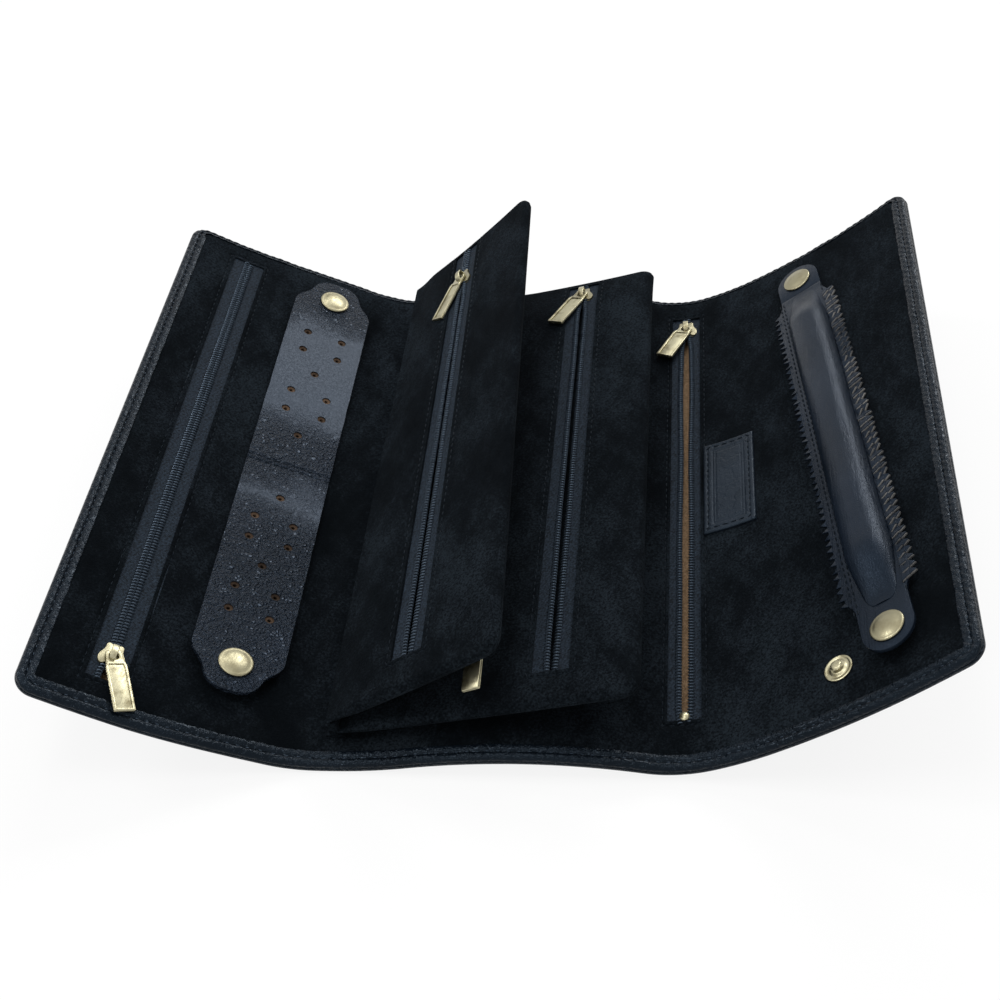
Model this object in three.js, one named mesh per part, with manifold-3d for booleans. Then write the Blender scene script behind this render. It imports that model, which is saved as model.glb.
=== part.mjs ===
import * as THREE from 'three';
import { mergeVertices } from 'three/addons/utils/BufferGeometryUtils.js';
import Module from 'manifold-3d';

const wasm = await Module();
wasm.setup();

// A trifold jewelry case lying open: leather cover, suede lining, two zip pages,
// an earring strip on the left flap and a ring bar on the right flap.
// Millimetres and degrees. X runs across the folds, Y along them, Z up.

// Driving dimensions of the cover
const CASE_LENGTH = 241;
const HALF_LENGTH = CASE_LENGTH / 2;
const LEFT_FLAP_WIDTH = 77.4;
const LEFT_FLAP_TILT_ANGLE = 31.4;
const LEFT_FLAP_BOW_ANGLE = 9.4;
const LEFT_SPINE_WIDTH = 16;
const LEFT_SPINE_BEND_ANGLE = 20;
const CENTRE_FOOT_WIDTH = 28;
const CENTRE_FOOT_BEND_ANGLE = 12;
const CENTRE_ARCH_WIDTH = 72;
const CENTRE_ARCH_BEND_ANGLE = -20;
const RIGHT_CREASE_WIDTH = 22;
const RIGHT_CREASE_BEND_ANGLE = 30;
const RIGHT_WALL_WIDTH = 20;
const RIGHT_WALL_BEND_ANGLE = 10;
const RIGHT_FLAP_WIDTH = 71;
const RIGHT_FLAP_BOW_ANGLE = 14;
const PROFILE_STEP = 12.5;
const PROFILE_TURN_STEP = 4;

// Where each panel starts, measured along the outer face from the left edge
const LEFT_SPINE_START = LEFT_FLAP_WIDTH;
const CENTRE_START = LEFT_SPINE_START + LEFT_SPINE_WIDTH;
const CENTRE_END = CENTRE_START + CENTRE_FOOT_WIDTH + CENTRE_ARCH_WIDTH;
const RIGHT_SPINE_END = CENTRE_END + RIGHT_CREASE_WIDTH + RIGHT_WALL_WIDTH;
const COVER_WIDTH = RIGHT_SPINE_END + RIGHT_FLAP_WIDTH;

const COVER_SKIN = 0.7;
const RIM_HEIGHT = 3.2;
const RIM_WIDTH = 6.5;
const RIM_CORNER_RADIUS = 9;
const LINING_TOP = 4.2;
const LINING_THICKNESS = 0.7;
const LINING_CORNER_RADIUS = 4;
const BOARD_TOP = 3.2;
const BAG_THICKNESS = 0.3;
const BAG_EDGE_INSET = 1;
const LEFT_BAG_FRONT_INSET = 2.5;
const LEFT_BAG_BACK_INSET = 3;
const CUT_MARGIN = 1;
const LAYER_GAP = 0.15;
const SEAT_GAP = 0.3;
const CREASE_GAP = 1.3;

// Zips
const TAPE_THICKNESS = 0.4;
const TAPE_HALF_WIDTH = 7.8;
const WINDOW_HALF_WIDTH = 6;
const COIL_GAP = 1.1;
const COIL_WIDTH = 1.7;
const COIL_THICKNESS = 1.3;
const ZIP_END_MARGIN = 3;
const TAPE_CLEARANCE = 0.5;
const STOP_RADIUS = 1.7;
const STOP_HEIGHT = 1;
const STOP_INSET = 5;
const STOP_STEPS = 12;
const LEFT_ZIP_PLACE = 24.6;
const LEFT_ZIP_FRONT_INSET = 8.7;
const LEFT_ZIP_BACK_INSET = 7.5;
const LEFT_ZIP_FRONT = LEFT_ZIP_FRONT_INSET - HALF_LENGTH;
const LEFT_ZIP_BACK = HALF_LENGTH - LEFT_ZIP_BACK_INSET;
const RIGHT_ZIP_PLACE = 13.3;
const RIGHT_ZIP_FRONT_INSET = 16;
const RIGHT_ZIP_BACK_INSET = 10.5;
const RIGHT_ZIP_FRONT = RIGHT_ZIP_FRONT_INSET - HALF_LENGTH;
const RIGHT_ZIP_BACK = HALF_LENGTH - RIGHT_ZIP_BACK_INSET;
const RIGHT_BAG_WIDTH = 36;
const LEFT_BAG_WIDTH = 61.4;

const SLIDER_LENGTH = 8.6;
const SLIDER_THROAT_HALF = 4.2;
const SLIDER_TAIL_HALF = 3.1;
const SLIDER_CHANNEL = 2.0;
const SLIDER_PLATE = 0.6;
const SLIDER_FLANGE = 0.6;
const SLIDER_SLOT = 1.0;
const SLIDER_POST = 0.5;
const SLIDER_POST_START = 0.85;
const SLIDER_POST_END = 0.1;
const SLIDER_THROAT_LIP = 1.4;
const BAIL_WIDTH = 1.8;
const BAIL_THICKNESS = 0.9;
const BAIL_REACH = 5.4;
const BAIL_RISE = 2.8;
const BAIL_CORNER = 1.3;
const BAIL_INNER_CORNER = 0.6;
const PULL_LENGTH = 21;
const PULL_WIDTH = 6.6;
const PULL_THICKNESS = 1.1;
const PULL_EYE_LENGTH = 3.05;
const PULL_EYE_WIDTH = 4.8;
const PULL_FRAME = 0.9;
const PULL_END_RADIUS = 0.8;
const PULL_EYE_RADIUS = 1.6;
const PULL_PANEL_DEPTH = 0.25;
const PULL_DROOP_ANGLE = 0.4;

// Pages
const PAGE_FRONT_INSET = 11;
const PAGE_BACK_INSET = 1.5;
const PAGE_FRONT = PAGE_FRONT_INSET - HALF_LENGTH;
const PAGE_BACK = HALF_LENGTH - PAGE_BACK_INSET;
const PAGE_2_BACK_INSET = 7.5;
const PAGE_2_BACK = HALF_LENGTH - PAGE_2_BACK_INSET;
const PAGE_CORNER_RADIUS = 6;
const PAGE_LEAF = 1.0;
const PAGE_POUCH = 2.4;
const PAGE_HEM = 4;
const PAGE_EDGE_ROUND = 0.7;
const PAGE_ROOT_WIDTH = 4;
const PAGE_ROOT_TAPER = 7;
const PAGE_ROOT_THICKNESS = 1.8;
const PAGE_STACK = 4.8;
const PAGE_1_WIDTH = 65;
const PAGE_2_WIDTH = 97;
const PAGE_1_ANGLE = 36;
const PAGE_2_ANGLE = 12.5;
const PAGE_1_ZIP_PLACE = 30.5;
const PAGE_1_REVERSE_ZIP_PLACE = 53;
const PAGE_2_ZIP_PLACE = 69;
const PAGE_ZIP_FRONT_INSET = 9.5;
const PAGE_ZIP_BACK_INSET = 8;
const PAGE_ZIP_FRONT = PAGE_FRONT + PAGE_ZIP_FRONT_INSET;
const PAGE_ZIP_BACK = PAGE_BACK - PAGE_ZIP_BACK_INSET;
const PAGE_2_ZIP_BACK_INSET = 4.5;
const PAGE_2_ZIP_BACK = PAGE_2_BACK - PAGE_2_ZIP_BACK_INSET;
const BINDING_PLACE = 2.2;
const BINDING_WIDTH = 6;
const BINDING_THICKNESS = 1;

// Earring strip
const STRIP_CREASE_INSET = 16.5;
const STRIP_PLACE = LEFT_SPINE_START - STRIP_CREASE_INSET;
const STRIP_CENTRE = 4.5;
const STRIP_WIDTH = 30;
const STRIP_THICKNESS = 1.3;
const STRIP_SEAT = 0.6;
const STRIP_SEAM_WIDTH = 6;
const STRIP_TIP_INSET = 12.5;
const STRIP_TIP = HALF_LENGTH - STRIP_TIP_INSET;
const STRIP_LOBE_LENGTH = 12;
const STRIP_LOBE_WIDTH = 20;
const STRIP_CAP_PLACE = STRIP_TIP - STRIP_LOBE_LENGTH;
const STRIP_SHOULDER_LENGTH = 3;
const STRIP_OGEE_LENGTH = 4;
const STRIP_NECK_LENGTH = 8.5;
const STRIP_SHOULDER = STRIP_CAP_PLACE - STRIP_SHOULDER_LENGTH;
const HOLE_DIAMETER = 1.6;
const HOLE_PAIR_SPREAD = 13.6;
const HOLE_FIRST_ROW = 17;
const HOLE_GROUPS = 2;
const HOLE_CAP_INSET = 10;
const HOLE_GROUP_PITCH = (STRIP_CAP_PLACE - HOLE_CAP_INSET - HOLE_FIRST_ROW) / HOLE_GROUPS;
const HOLE_PAIR_STEPS = [12, 22.5];

// Snap fasteners
const CAP_RADIUS = 5.65;
const CAP_EDGE = 0.7;
const CAP_DOME = 0.9;
const SHANK_RADIUS = 1.4;
const SHANK_HOLE_RADIUS = 1.8;
const SOCKET_RADIUS = 5;
const SOCKET_HEIGHT = 2.4;
const SOCKET_BORE_RADIUS = 2.4;
const SOCKET_FLOOR = 0.7;
const STUD_FLANGE_RADIUS = 4.7;
const STUD_FLANGE_THICKNESS = 0.5;
const STUD_POST_RADIUS = 1.5;
const STUD_BULB_RADIUS = 1.9;
const STUD_NECK_HEIGHT = 0.6;
const STUD_BULB_CHAMFER = 0.4;
const STUD_HEIGHT = 2.2;
const ROUND_STEPS = 24;

// Ring bar
const BAR_CREASE_INSET = 22;
const BAR_PLACE = RIGHT_SPINE_END + BAR_CREASE_INSET;
const BAR_END_INSET = 19;
const BAR_RIVET_Y = HALF_LENGTH - BAR_END_INSET;
const BAR_SNAP_INSET = 21;
const BAR_REACH = CASE_LENGTH - BAR_END_INSET - BAR_SNAP_INSET;
const BAR_SWING_ANGLE = 6.5;
const BAR_CLOSED_ANGLE = 0.7;
const BAR_LIFT_ANGLE = 1.6;
const BAR_SEAT = 0.45;
const BAR_LEATHER = 1.2;
const BAR_LOBE_RADIUS = 8.6;
const BAR_BASE_WIDTH = 21;
const BAR_FOLD_PLACE = 8.6;
const BAR_FLARE_START = 11;
const BAR_FLARE_END = 19;
const PINK_PITCH = 2.9;
const PINK_DEPTH = 1.6;
const ROLL_WIDTH = 14;
const ROLL_HEIGHT = 5.2;
const ROLL_START = 10.2;
const ROLL_END_TAPER = 7;
const ROLL_SHOULDER = 2.4;

// Label patch
const LABEL_SPINE_INSET = 20.8;
const LABEL_PLACE = CENTRE_END + LABEL_SPINE_INSET;
const LABEL_WIDTH = 20;
const LABEL_FRONT = -20;
const LABEL_LENGTH = 46;
const LABEL_THICKNESS = 1.1;
const LABEL_FRAME = 3.2;
const LABEL_GROOVE_DEPTH = 0.3;
const LABEL_GROOVE_WIDTH = 0.6;

// Rest state of the zips, measured along Y, and the turn of each pull seen from above
const SLIDER_END_INSET = 10;
const PAGE_1_SLIDER_INSET = 14;
const CLOSED_SLIDER_INSET = 12;
const REVERSE_SLIDER_INSET = 8;
const LEFT_SLIDER_Y = LEFT_ZIP_FRONT + CLOSED_SLIDER_INSET;
const LEFT_PULL_ANGLE = 24;
const PAGE_1_SLIDER_Y = PAGE_ZIP_BACK - PAGE_1_SLIDER_INSET;
const PAGE_1_PULL_ANGLE = -30;
const PAGE_1_REVERSE_SLIDER_Y = PAGE_ZIP_FRONT + REVERSE_SLIDER_INSET;
const PAGE_1_REVERSE_PULL_ANGLE = 12;
const PAGE_1_REVERSE_PULL_DROOP_ANGLE = 12;
const PAGE_2_SLIDER_INSET = 7.5;
const PAGE_2_SLIDER_Y = PAGE_2_ZIP_BACK - PAGE_2_SLIDER_INSET;
const PAGE_2_PULL_ANGLE = -27;
const RIGHT_SLIDER_Y = RIGHT_ZIP_BACK - SLIDER_END_INSET;
const RIGHT_PULL_ANGLE = -23;
const RIGHT_PULL_DROOP_ANGLE = -5;

const FINISH = {
  leather: { color: 0x15181d, roughness: 0.42, metalness: 0 },
  grain: { color: 0x23262e, roughness: 0.4, metalness: 0 },
  smooth: { color: 0x2c303b, roughness: 0.5, metalness: 0 },
  suede: { color: 0x0d1117, roughness: 0.96, metalness: 0 },
  board: { color: 0x8a7a62, roughness: 0.9, metalness: 0 },
  bag: { color: 0x7d6244, roughness: 0.85, metalness: 0 },
  tape: { color: 0x1a222d, roughness: 0.8, metalness: 0 },
  brass: { color: 0xb8a878, roughness: 0.32, metalness: 1 },
};

// Shapes and solids

const radians = THREE.MathUtils.degToRad;

function solidOf(geometry) {
  const bare = geometry.clone();
  bare.deleteAttribute('normal');
  bare.deleteAttribute('uv');
  const merged = mergeVertices(bare, 1e-4);
  const vertProperties = new Float32Array(merged.attributes.position.array);
  const triVerts = new Uint32Array(merged.index.array);
  return new wasm.Manifold(new wasm.Mesh({ numProp: 3, vertProperties, triVerts }));
}

function geometryOf(solid) {
  const { vertProperties, triVerts } = solid.getMesh();
  const geometry = new THREE.BufferGeometry();
  geometry.setAttribute('position', new THREE.BufferAttribute(new Float32Array(vertProperties), 3));
  geometry.setIndex(new THREE.BufferAttribute(new Uint32Array(triVerts), 1));
  geometry.computeVertexNormals();
  return geometry;
}

function join(...geometries) {
  return geometryOf(geometries.map(solidOf).reduce((sum, solid) => sum.add(solid)));
}

function cut(body, ...tools) {
  return geometryOf(tools.map(solidOf).reduce((rest, tool) => rest.subtract(tool), solidOf(body)));
}

function clip(body, tool) {
  return geometryOf(solidOf(body).intersect(solidOf(tool)));
}

function block(x0, x1, y0, y1, z0, z1) {
  const geometry = new THREE.BoxGeometry(x1 - x0, y1 - y0, z1 - z0);
  return geometry.translate((x0 + x1) / 2, (y0 + y1) / 2, (z0 + z1) / 2);
}

// A flat outline in XY, raised from z0 to z1
function plate(outline, z0, z1, curveSegments = 6) {
  const geometry = new THREE.ExtrudeGeometry(outline, { depth: z1 - z0, bevelEnabled: false, curveSegments });
  return geometry.translate(0, 0, z0);
}

// A flat outline in XZ, drawn out along Y from y0 to y1
function bar(outline, y0, y1, curveSegments = 6) {
  const geometry = new THREE.ExtrudeGeometry(outline, { depth: y1 - y0, bevelEnabled: false, curveSegments });
  return geometry.rotateX(Math.PI / 2).translate(0, y1, 0);
}

function polygon(points) {
  return new THREE.Shape(points.map(([x, y]) => new THREE.Vector2(x, y)));
}

// A rectangle whose corners have their own radii, from lower left and counterclockwise
function roundedRectangle(x0, x1, y0, y1, radii) {
  const [a, b, c, d] = radii;
  const shape = new THREE.Shape();
  shape.moveTo(x0 + a, y0);
  shape.lineTo(x1 - b, y0);
  if (b > 0) shape.absarc(x1 - b, y0 + b, b, -Math.PI / 2, 0);
  shape.lineTo(x1, y1 - c);
  if (c > 0) shape.absarc(x1 - c, y1 - c, c, 0, Math.PI / 2);
  shape.lineTo(x0 + d, y1);
  if (d > 0) shape.absarc(x0 + d, y1 - d, d, Math.PI / 2, Math.PI);
  shape.lineTo(x0, y0 + a);
  if (a > 0) shape.absarc(x0 + a, y0 + a, a, Math.PI, 1.5 * Math.PI);
  return shape;
}

function turned(profile, steps = ROUND_STEPS) {
  const points = profile.map(([r, z]) => new THREE.Vector2(r, z));
  return new THREE.LatheGeometry(points, steps).rotateX(Math.PI / 2);
}

function mesh(name, finish, geometry) {
  const material = new THREE.MeshStandardMaterial(FINISH[finish]);
  const object = new THREE.Mesh(geometry, material);
  object.name = name;
  return object;
}

function group(...children) {
  const object = new THREE.Group();
  object.add(...children);
  return object;
}

// The cover's cross-section: a chain of arcs from the left edge to the right edge

const ARCS = [
  [LEFT_FLAP_WIDTH, LEFT_FLAP_BOW_ANGLE],
  [LEFT_SPINE_WIDTH, LEFT_SPINE_BEND_ANGLE],
  [CENTRE_FOOT_WIDTH, CENTRE_FOOT_BEND_ANGLE],
  [CENTRE_ARCH_WIDTH, CENTRE_ARCH_BEND_ANGLE],
  [RIGHT_CREASE_WIDTH, RIGHT_CREASE_BEND_ANGLE],
  [RIGHT_WALL_WIDTH, RIGHT_WALL_BEND_ANGLE],
  [RIGHT_FLAP_WIDTH, RIGHT_FLAP_BOW_ANGLE],
];

// The outer face at distance s from the left edge: its place and its heading
function outerFace(s) {
  let x = 0;
  let z = 0;
  let heading = -radians(LEFT_FLAP_TILT_ANGLE);
  let left = s;
  for (const [width, bend] of ARCS) {
    const run = Math.min(left, width);
    const turn = (radians(bend) * run) / width;
    const chord = turn === 0 ? run : (2 * run * Math.sin(turn / 2)) / turn;
    x += chord * Math.cos(heading + turn / 2);
    z += chord * Math.sin(heading + turn / 2);
    heading += turn;
    left -= run;
    if (left <= 0) break;
  }
  return { x, z, heading };
}

function faceAt(s, height) {
  const { x, z, heading } = outerFace(s);
  return [x - height * Math.sin(heading), z + height * Math.cos(heading)];
}

// Places from s0 to s1, close enough together to follow every bend
function placesAlong(s0, s1) {
  const places = [s0];
  let start = 0;
  for (const [width, bend] of ARCS) {
    const a = Math.max(s0, start);
    const b = Math.min(s1, start + width);
    start += width;
    if (b - a < 1e-6) continue;
    const turn = (Math.abs(bend) * (b - a)) / width;
    const steps = Math.max(1, Math.ceil((b - a) / PROFILE_STEP), Math.ceil(turn / PROFILE_TURN_STEP));
    for (let i = 1; i <= steps; i += 1) places.push(a + ((b - a) * i) / steps);
  }
  return places;
}

// A strip of the cross-section between two heights, drawn out along Y
function ribbon(s0, s1, low, high, y0, y1) {
  const places = placesAlong(s0, s1);
  const lower = places.map((s) => faceAt(s, low));
  const upper = places.map((s) => faceAt(s, high)).reverse();
  return bar(polygon([...lower, ...upper]), y0, y1);
}

// A group whose X runs along the lining and whose Z stands off it
function seat(s, height, y, ...children) {
  const object = group(...children);
  const [x, z] = faceAt(s, height);
  object.position.set(x, y, z);
  object.rotation.y = -outerFace(s).heading;
  return object;
}

// A tool of the same kind, for cutting a window through the layers at s
function windowTool(s, halfWidth, y0, y1) {
  const tool = block(-halfWidth, halfWidth, y0, y1, -2 * LINING_TOP, 2 * LINING_TOP);
  const [x, z] = faceAt(s, LINING_TOP / 2);
  return tool.rotateY(-outerFace(s).heading).translate(x, 0, z);
}

const INNER_HALF_LENGTH = HALF_LENGTH - RIM_WIDTH - SEAT_GAP;

// Rounds the two outer corners of a flap, seen from above; its lowest face reaches farthest out
function roundOuterCorners(body, side, edge, low, halfLength, radius) {
  const [outer] = faceAt(edge, low);
  const inner = outer - side * COVER_WIDTH;
  const radii = side > 0 ? [0, radius, radius, 0] : [radius, 0, 0, radius];
  const [x0, x1] = [Math.min(outer, inner), Math.max(outer, inner)];
  const outline = roundedRectangle(x0, x1, -halfLength, halfLength, radii);
  return clip(body, plate(outline, -CASE_LENGTH, CASE_LENGTH));
}

// One panel of the leather cover: a thin skin with its turned and stitched rim
function coverPanel(name, s0, s1, side) {
  const start = side < 0 ? s0 : s0 + CREASE_GAP / 2;
  const end = side > 0 ? s1 : s1 - CREASE_GAP / 2;
  const tray = ribbon(start, end, 0, RIM_HEIGHT, -HALF_LENGTH, HALF_LENGTH);
  const wellStart = side < 0 ? s0 + RIM_WIDTH : start - CUT_MARGIN;
  const wellEnd = side > 0 ? s1 - RIM_WIDTH : end + CUT_MARGIN;
  const wellHalf = HALF_LENGTH - RIM_WIDTH;
  const well = ribbon(wellStart, wellEnd, COVER_SKIN, 2 * RIM_HEIGHT, -wellHalf, wellHalf);
  const body = cut(tray, well);
  const edge = side < 0 ? s0 : s1;
  const finished = side ? roundOuterCorners(body, side, edge, 0, HALF_LENGTH, RIM_CORNER_RADIUS) : body;
  return mesh(name, 'leather', finished);
}

// A layer inside the rim: lining, board or pocket bag
function innerLayer(s0, s1, side, low, high, creaseInset, windows = []) {
  const start = side < 0 ? s0 + RIM_WIDTH + SEAT_GAP : s0 + creaseInset;
  const end = side > 0 ? s1 - RIM_WIDTH - SEAT_GAP : s1 - creaseInset;
  let body = ribbon(start, end, low, high, -INNER_HALF_LENGTH, INNER_HALF_LENGTH);
  const edge = side < 0 ? start : end;
  if (side) body = roundOuterCorners(body, side, edge, low, INNER_HALF_LENGTH, LINING_CORNER_RADIUS);
  return windows.length ? cut(body, ...windows) : body;
}

const LINING_LOW = LINING_TOP - LINING_THICKNESS;
const BOARD_LOW = COVER_SKIN + LAYER_GAP;
const BAG_TOP = BOARD_LOW + BAG_THICKNESS;

function lining(name, s0, s1, side, low = LINING_LOW, windows = []) {
  return mesh(name, 'suede', innerLayer(s0, s1, side, low, LINING_TOP, SEAT_GAP / 2, windows));
}

function board(name, s0, s1, side, low = BOARD_LOW, windows = []) {
  return mesh(name, 'board', innerLayer(s0, s1, side, low, BOARD_TOP, CREASE_GAP / 2, windows));
}

// Zips: two rows of coil on tape, a slider that straddles them and its pull

// One tape with its coil row, on the side where x is positive
function zipRow(length) {
  const coil = COIL_THICKNESS / 2;
  const tape = TAPE_THICKNESS / 2;
  const reach = length / 2 - ZIP_END_MARGIN - SEAT_GAP;
  const coilIn = COIL_GAP / 2;
  const coilOut = coilIn + COIL_WIDTH;
  const strip = block(coilIn, TAPE_HALF_WIDTH, -length / 2, length / 2, -tape, tape);
  const row = block(coilIn, coilOut, -reach, reach, -coil, coil);
  return join(strip, row);
}

// The slider's outline from above, drawn in by inset; its throat faces -Y
function sliderOutline(inset) {
  const tail = SLIDER_TAIL_HALF - inset;
  const throat = SLIDER_THROAT_HALF - inset;
  const half = SLIDER_LENGTH / 2;
  const shape = new THREE.Shape();
  shape.moveTo(-throat * 0.8, -half);
  shape.lineTo(throat * 0.8, -half);
  shape.quadraticCurveTo(throat * 1.1, -half * 0.45, tail, half * 0.25);
  shape.lineTo(tail, half * 0.7);
  shape.lineTo(tail * 0.8, half);
  shape.lineTo(-tail * 0.8, half);
  shape.lineTo(-tail, half * 0.7);
  shape.lineTo(-tail, half * 0.25);
  shape.quadraticCurveTo(-throat * 1.1, -half * 0.45, -throat * 0.8, -half);
  return shape;
}

// The arch over the slider that holds the pull
function bail(base) {
  const out = BAIL_REACH / 2;
  const inner = out - BAIL_THICKNESS;
  const top = base + BAIL_RISE;
  const under = top - BAIL_THICKNESS;
  const foot = base - SLIDER_PLATE / 2;
  const shape = new THREE.Shape();
  shape.moveTo(-out, foot);
  shape.lineTo(-inner, foot);
  shape.lineTo(-inner, under - BAIL_INNER_CORNER);
  shape.quadraticCurveTo(-inner, under, -inner + BAIL_INNER_CORNER, under);
  shape.lineTo(inner - BAIL_INNER_CORNER, under);
  shape.quadraticCurveTo(inner, under, inner, under - BAIL_INNER_CORNER);
  shape.lineTo(inner, foot);
  shape.lineTo(out, foot);
  shape.lineTo(out, top - BAIL_CORNER);
  shape.quadraticCurveTo(out, top, out - BAIL_CORNER, top);
  shape.lineTo(BAIL_CORNER - out, top);
  shape.quadraticCurveTo(-out, top, -out, top - BAIL_CORNER);
  const arch = bar(shape, -BAIL_WIDTH / 2, BAIL_WIDTH / 2, 3);
  return arch.rotateZ(Math.PI / 2);
}

function sliderBody() {
  const channel = SLIDER_CHANNEL / 2;
  const outside = channel + SLIDER_PLATE;
  const slot = SLIDER_SLOT / 2;
  const half = SLIDER_LENGTH / 2;
  const mouth = SLIDER_THROAT_HALF - SLIDER_THROAT_LIP;
  const exit = SLIDER_TAIL_HALF - SLIDER_FLANGE;
  const shell = plate(sliderOutline(0), -outside, outside, 3);
  const hollow = plate(sliderOutline(SLIDER_FLANGE), -channel, channel, 3);
  const openings = [
    block(-exit, exit, 0, SLIDER_LENGTH, -channel, channel),
    block(-mouth, mouth, -SLIDER_LENGTH, 0, -channel, channel),
    block(-SLIDER_LENGTH, SLIDER_LENGTH, -SLIDER_LENGTH, SLIDER_LENGTH, -slot, slot),
  ];
  const shellOpen = cut(shell, hollow, ...openings);
  const wedge = SLIDER_POST / 2;
  const middle = channel + SLIDER_PLATE / 2;
  const post = block(-wedge, wedge, -half * SLIDER_POST_START, -half * SLIDER_POST_END, -middle, middle);
  return join(shellOpen, post, bail(outside));
}

// The pull lies along -Y from the bail, with an eye, a sunk plain panel and a rounded end
function pullPlate() {
  const half = PULL_WIDTH / 2;
  const start = -PULL_THICKNESS / 2;
  const eyeHalf = PULL_EYE_WIDTH / 2;
  const radii = [PULL_END_RADIUS, PULL_END_RADIUS, PULL_EYE_RADIUS, PULL_EYE_RADIUS];
  const outline = roundedRectangle(-half, half, -PULL_LENGTH, -start, radii);
  const blank = plate(outline, -PULL_THICKNESS / 2, PULL_THICKNESS / 2, 3);
  const eyeEnd = start - PULL_EYE_LENGTH + PULL_THICKNESS;
  const eye = block(-eyeHalf, eyeHalf, eyeEnd - PULL_THICKNESS, start, -PULL_THICKNESS, PULL_THICKNESS);
  const panelBack = eyeEnd - PULL_THICKNESS - PULL_FRAME;
  const panelFloor = PULL_THICKNESS / 2 - PULL_PANEL_DEPTH;
  const panelHalf = half - PULL_FRAME;
  const panelFront = PULL_FRAME - PULL_LENGTH;
  const panel = block(-panelHalf, panelHalf, panelFront, panelBack, panelFloor, PULL_THICKNESS);
  return cut(blank, eye, panel);
}

const SLIDER_TOP = SLIDER_CHANNEL / 2 + SLIDER_PLATE;
const PULL_PIVOT_HEIGHT = SLIDER_TOP + (BAIL_RISE - BAIL_THICKNESS) / 2;

// A whole zip in its own frame: tapes in the XY plane, teeth along Y
function zip(name, front, back, sliderY, pullTurn, pullDroop = PULL_DROOP_ANGLE) {
  const length = back - front;
  const right = mesh(`${name}_right_row`, 'tape', zipRow(length));
  const left = mesh(`${name}_left_row`, 'tape', zipRow(length));
  left.rotation.z = Math.PI;
  const rows = group(left, right);
  rows.position.y = (front + back) / 2;
  const slider = mesh(`${name}_slider`, 'brass', sliderBody());
  const pull = mesh(`${name}_pull`, 'brass', pullPlate());
  const hinge = group(pull);
  hinge.position.z = PULL_PIVOT_HEIGHT;
  hinge.rotation.order = 'ZYX';
  hinge.rotation.set(radians(pullDroop), 0, radians(pullTurn));
  const carriage = group(slider, hinge);
  carriage.position.y = sliderY;
  return group(rows, carriage);
}

// Pages: two leaves hemmed together round a flat pouch, tapered to the sewn root

const PAGE_THICKNESS = 2 * PAGE_LEAF + PAGE_POUCH;

// The outline of a page's cross-section above or below its middle, from the root outwards
function leafSection(width, side) {
  const half = PAGE_THICKNESS / 2;
  const root = PAGE_ROOT_THICKNESS / 2;
  const split = side * SEAT_GAP / 2;
  const taperEnd = PAGE_ROOT_WIDTH + PAGE_ROOT_TAPER;
  return polygon([
    [SEAT_GAP, split],
    [width, split],
    [width, side * (half - PAGE_EDGE_ROUND)],
    [width - PAGE_EDGE_ROUND, side * half],
    [taperEnd, side * half],
    [PAGE_ROOT_WIDTH, side * root],
    [SEAT_GAP, side * root * 0.7],
  ]);
}

function pageOutline(width, back) {
  const radii = [0, PAGE_CORNER_RADIUS, PAGE_CORNER_RADIUS, 0];
  return plate(roundedRectangle(0, width, PAGE_FRONT, back, radii), -PAGE_THICKNESS, PAGE_THICKNESS);
}

// A leaf is hollowed from its inner face, and may have a zip window
function pageLeaf(name, width, side, back, zipBack, zipPlace) {
  const solid = clip(bar(leafSection(width, side), PAGE_FRONT, back), pageOutline(width, back));
  const inner = PAGE_ROOT_WIDTH + PAGE_ROOT_TAPER;
  const depth = side * PAGE_POUCH / 2;
  const z0 = Math.min(depth, -depth * 0.5);
  const z1 = Math.max(depth, -depth * 0.5);
  const pouch = block(inner, width - PAGE_HEM, PAGE_FRONT + PAGE_HEM, back - PAGE_HEM, z0, z1);
  const tools = [pouch];
  if (zipPlace) {
    const x0 = zipPlace - WINDOW_HALF_WIDTH;
    const x1 = zipPlace + WINDOW_HALF_WIDTH;
    const y0 = PAGE_ZIP_FRONT + ZIP_END_MARGIN;
    const y1 = zipBack - ZIP_END_MARGIN;
    tools.push(block(x0, x1, y0, y1, -PAGE_THICKNESS, PAGE_THICKNESS));
  }
  return mesh(name, 'suede', cut(solid, ...tools));
}

// The tape lies inside the pouch, just under its leaf
const PAGE_TAPE_HEIGHT = PAGE_POUCH / 2 - SEAT_GAP - TAPE_THICKNESS / 2;

// Snap fasteners

const CAP_HEIGHT = CAP_EDGE + CAP_DOME;

// A domed cap with its shank, standing on z = 0
function capTurning(shank) {
  return turned([
    [0, -shank],
    [SHANK_RADIUS, -shank],
    [SHANK_RADIUS, 0],
    [CAP_RADIUS * 0.95, 0],
    [CAP_RADIUS, CAP_EDGE / 2],
    [CAP_RADIUS * 0.965, CAP_EDGE],
    [CAP_RADIUS * 0.72, CAP_EDGE + CAP_DOME * 0.6],
    [CAP_RADIUS * 0.36, CAP_EDGE + CAP_DOME * 0.92],
    [0, CAP_HEIGHT],
  ]);
}

// A socket hanging below z = 0 with its bore open downwards
function socketTurning() {
  return turned([
    [0, -SOCKET_FLOOR],
    [SOCKET_BORE_RADIUS, -SOCKET_FLOOR],
    [SOCKET_BORE_RADIUS, -SOCKET_HEIGHT],
    [SOCKET_RADIUS * 0.7, -SOCKET_HEIGHT],
    [SOCKET_RADIUS, -SOCKET_FLOOR],
    [SOCKET_RADIUS, 0],
    [0, 0],
  ]);
}

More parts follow.
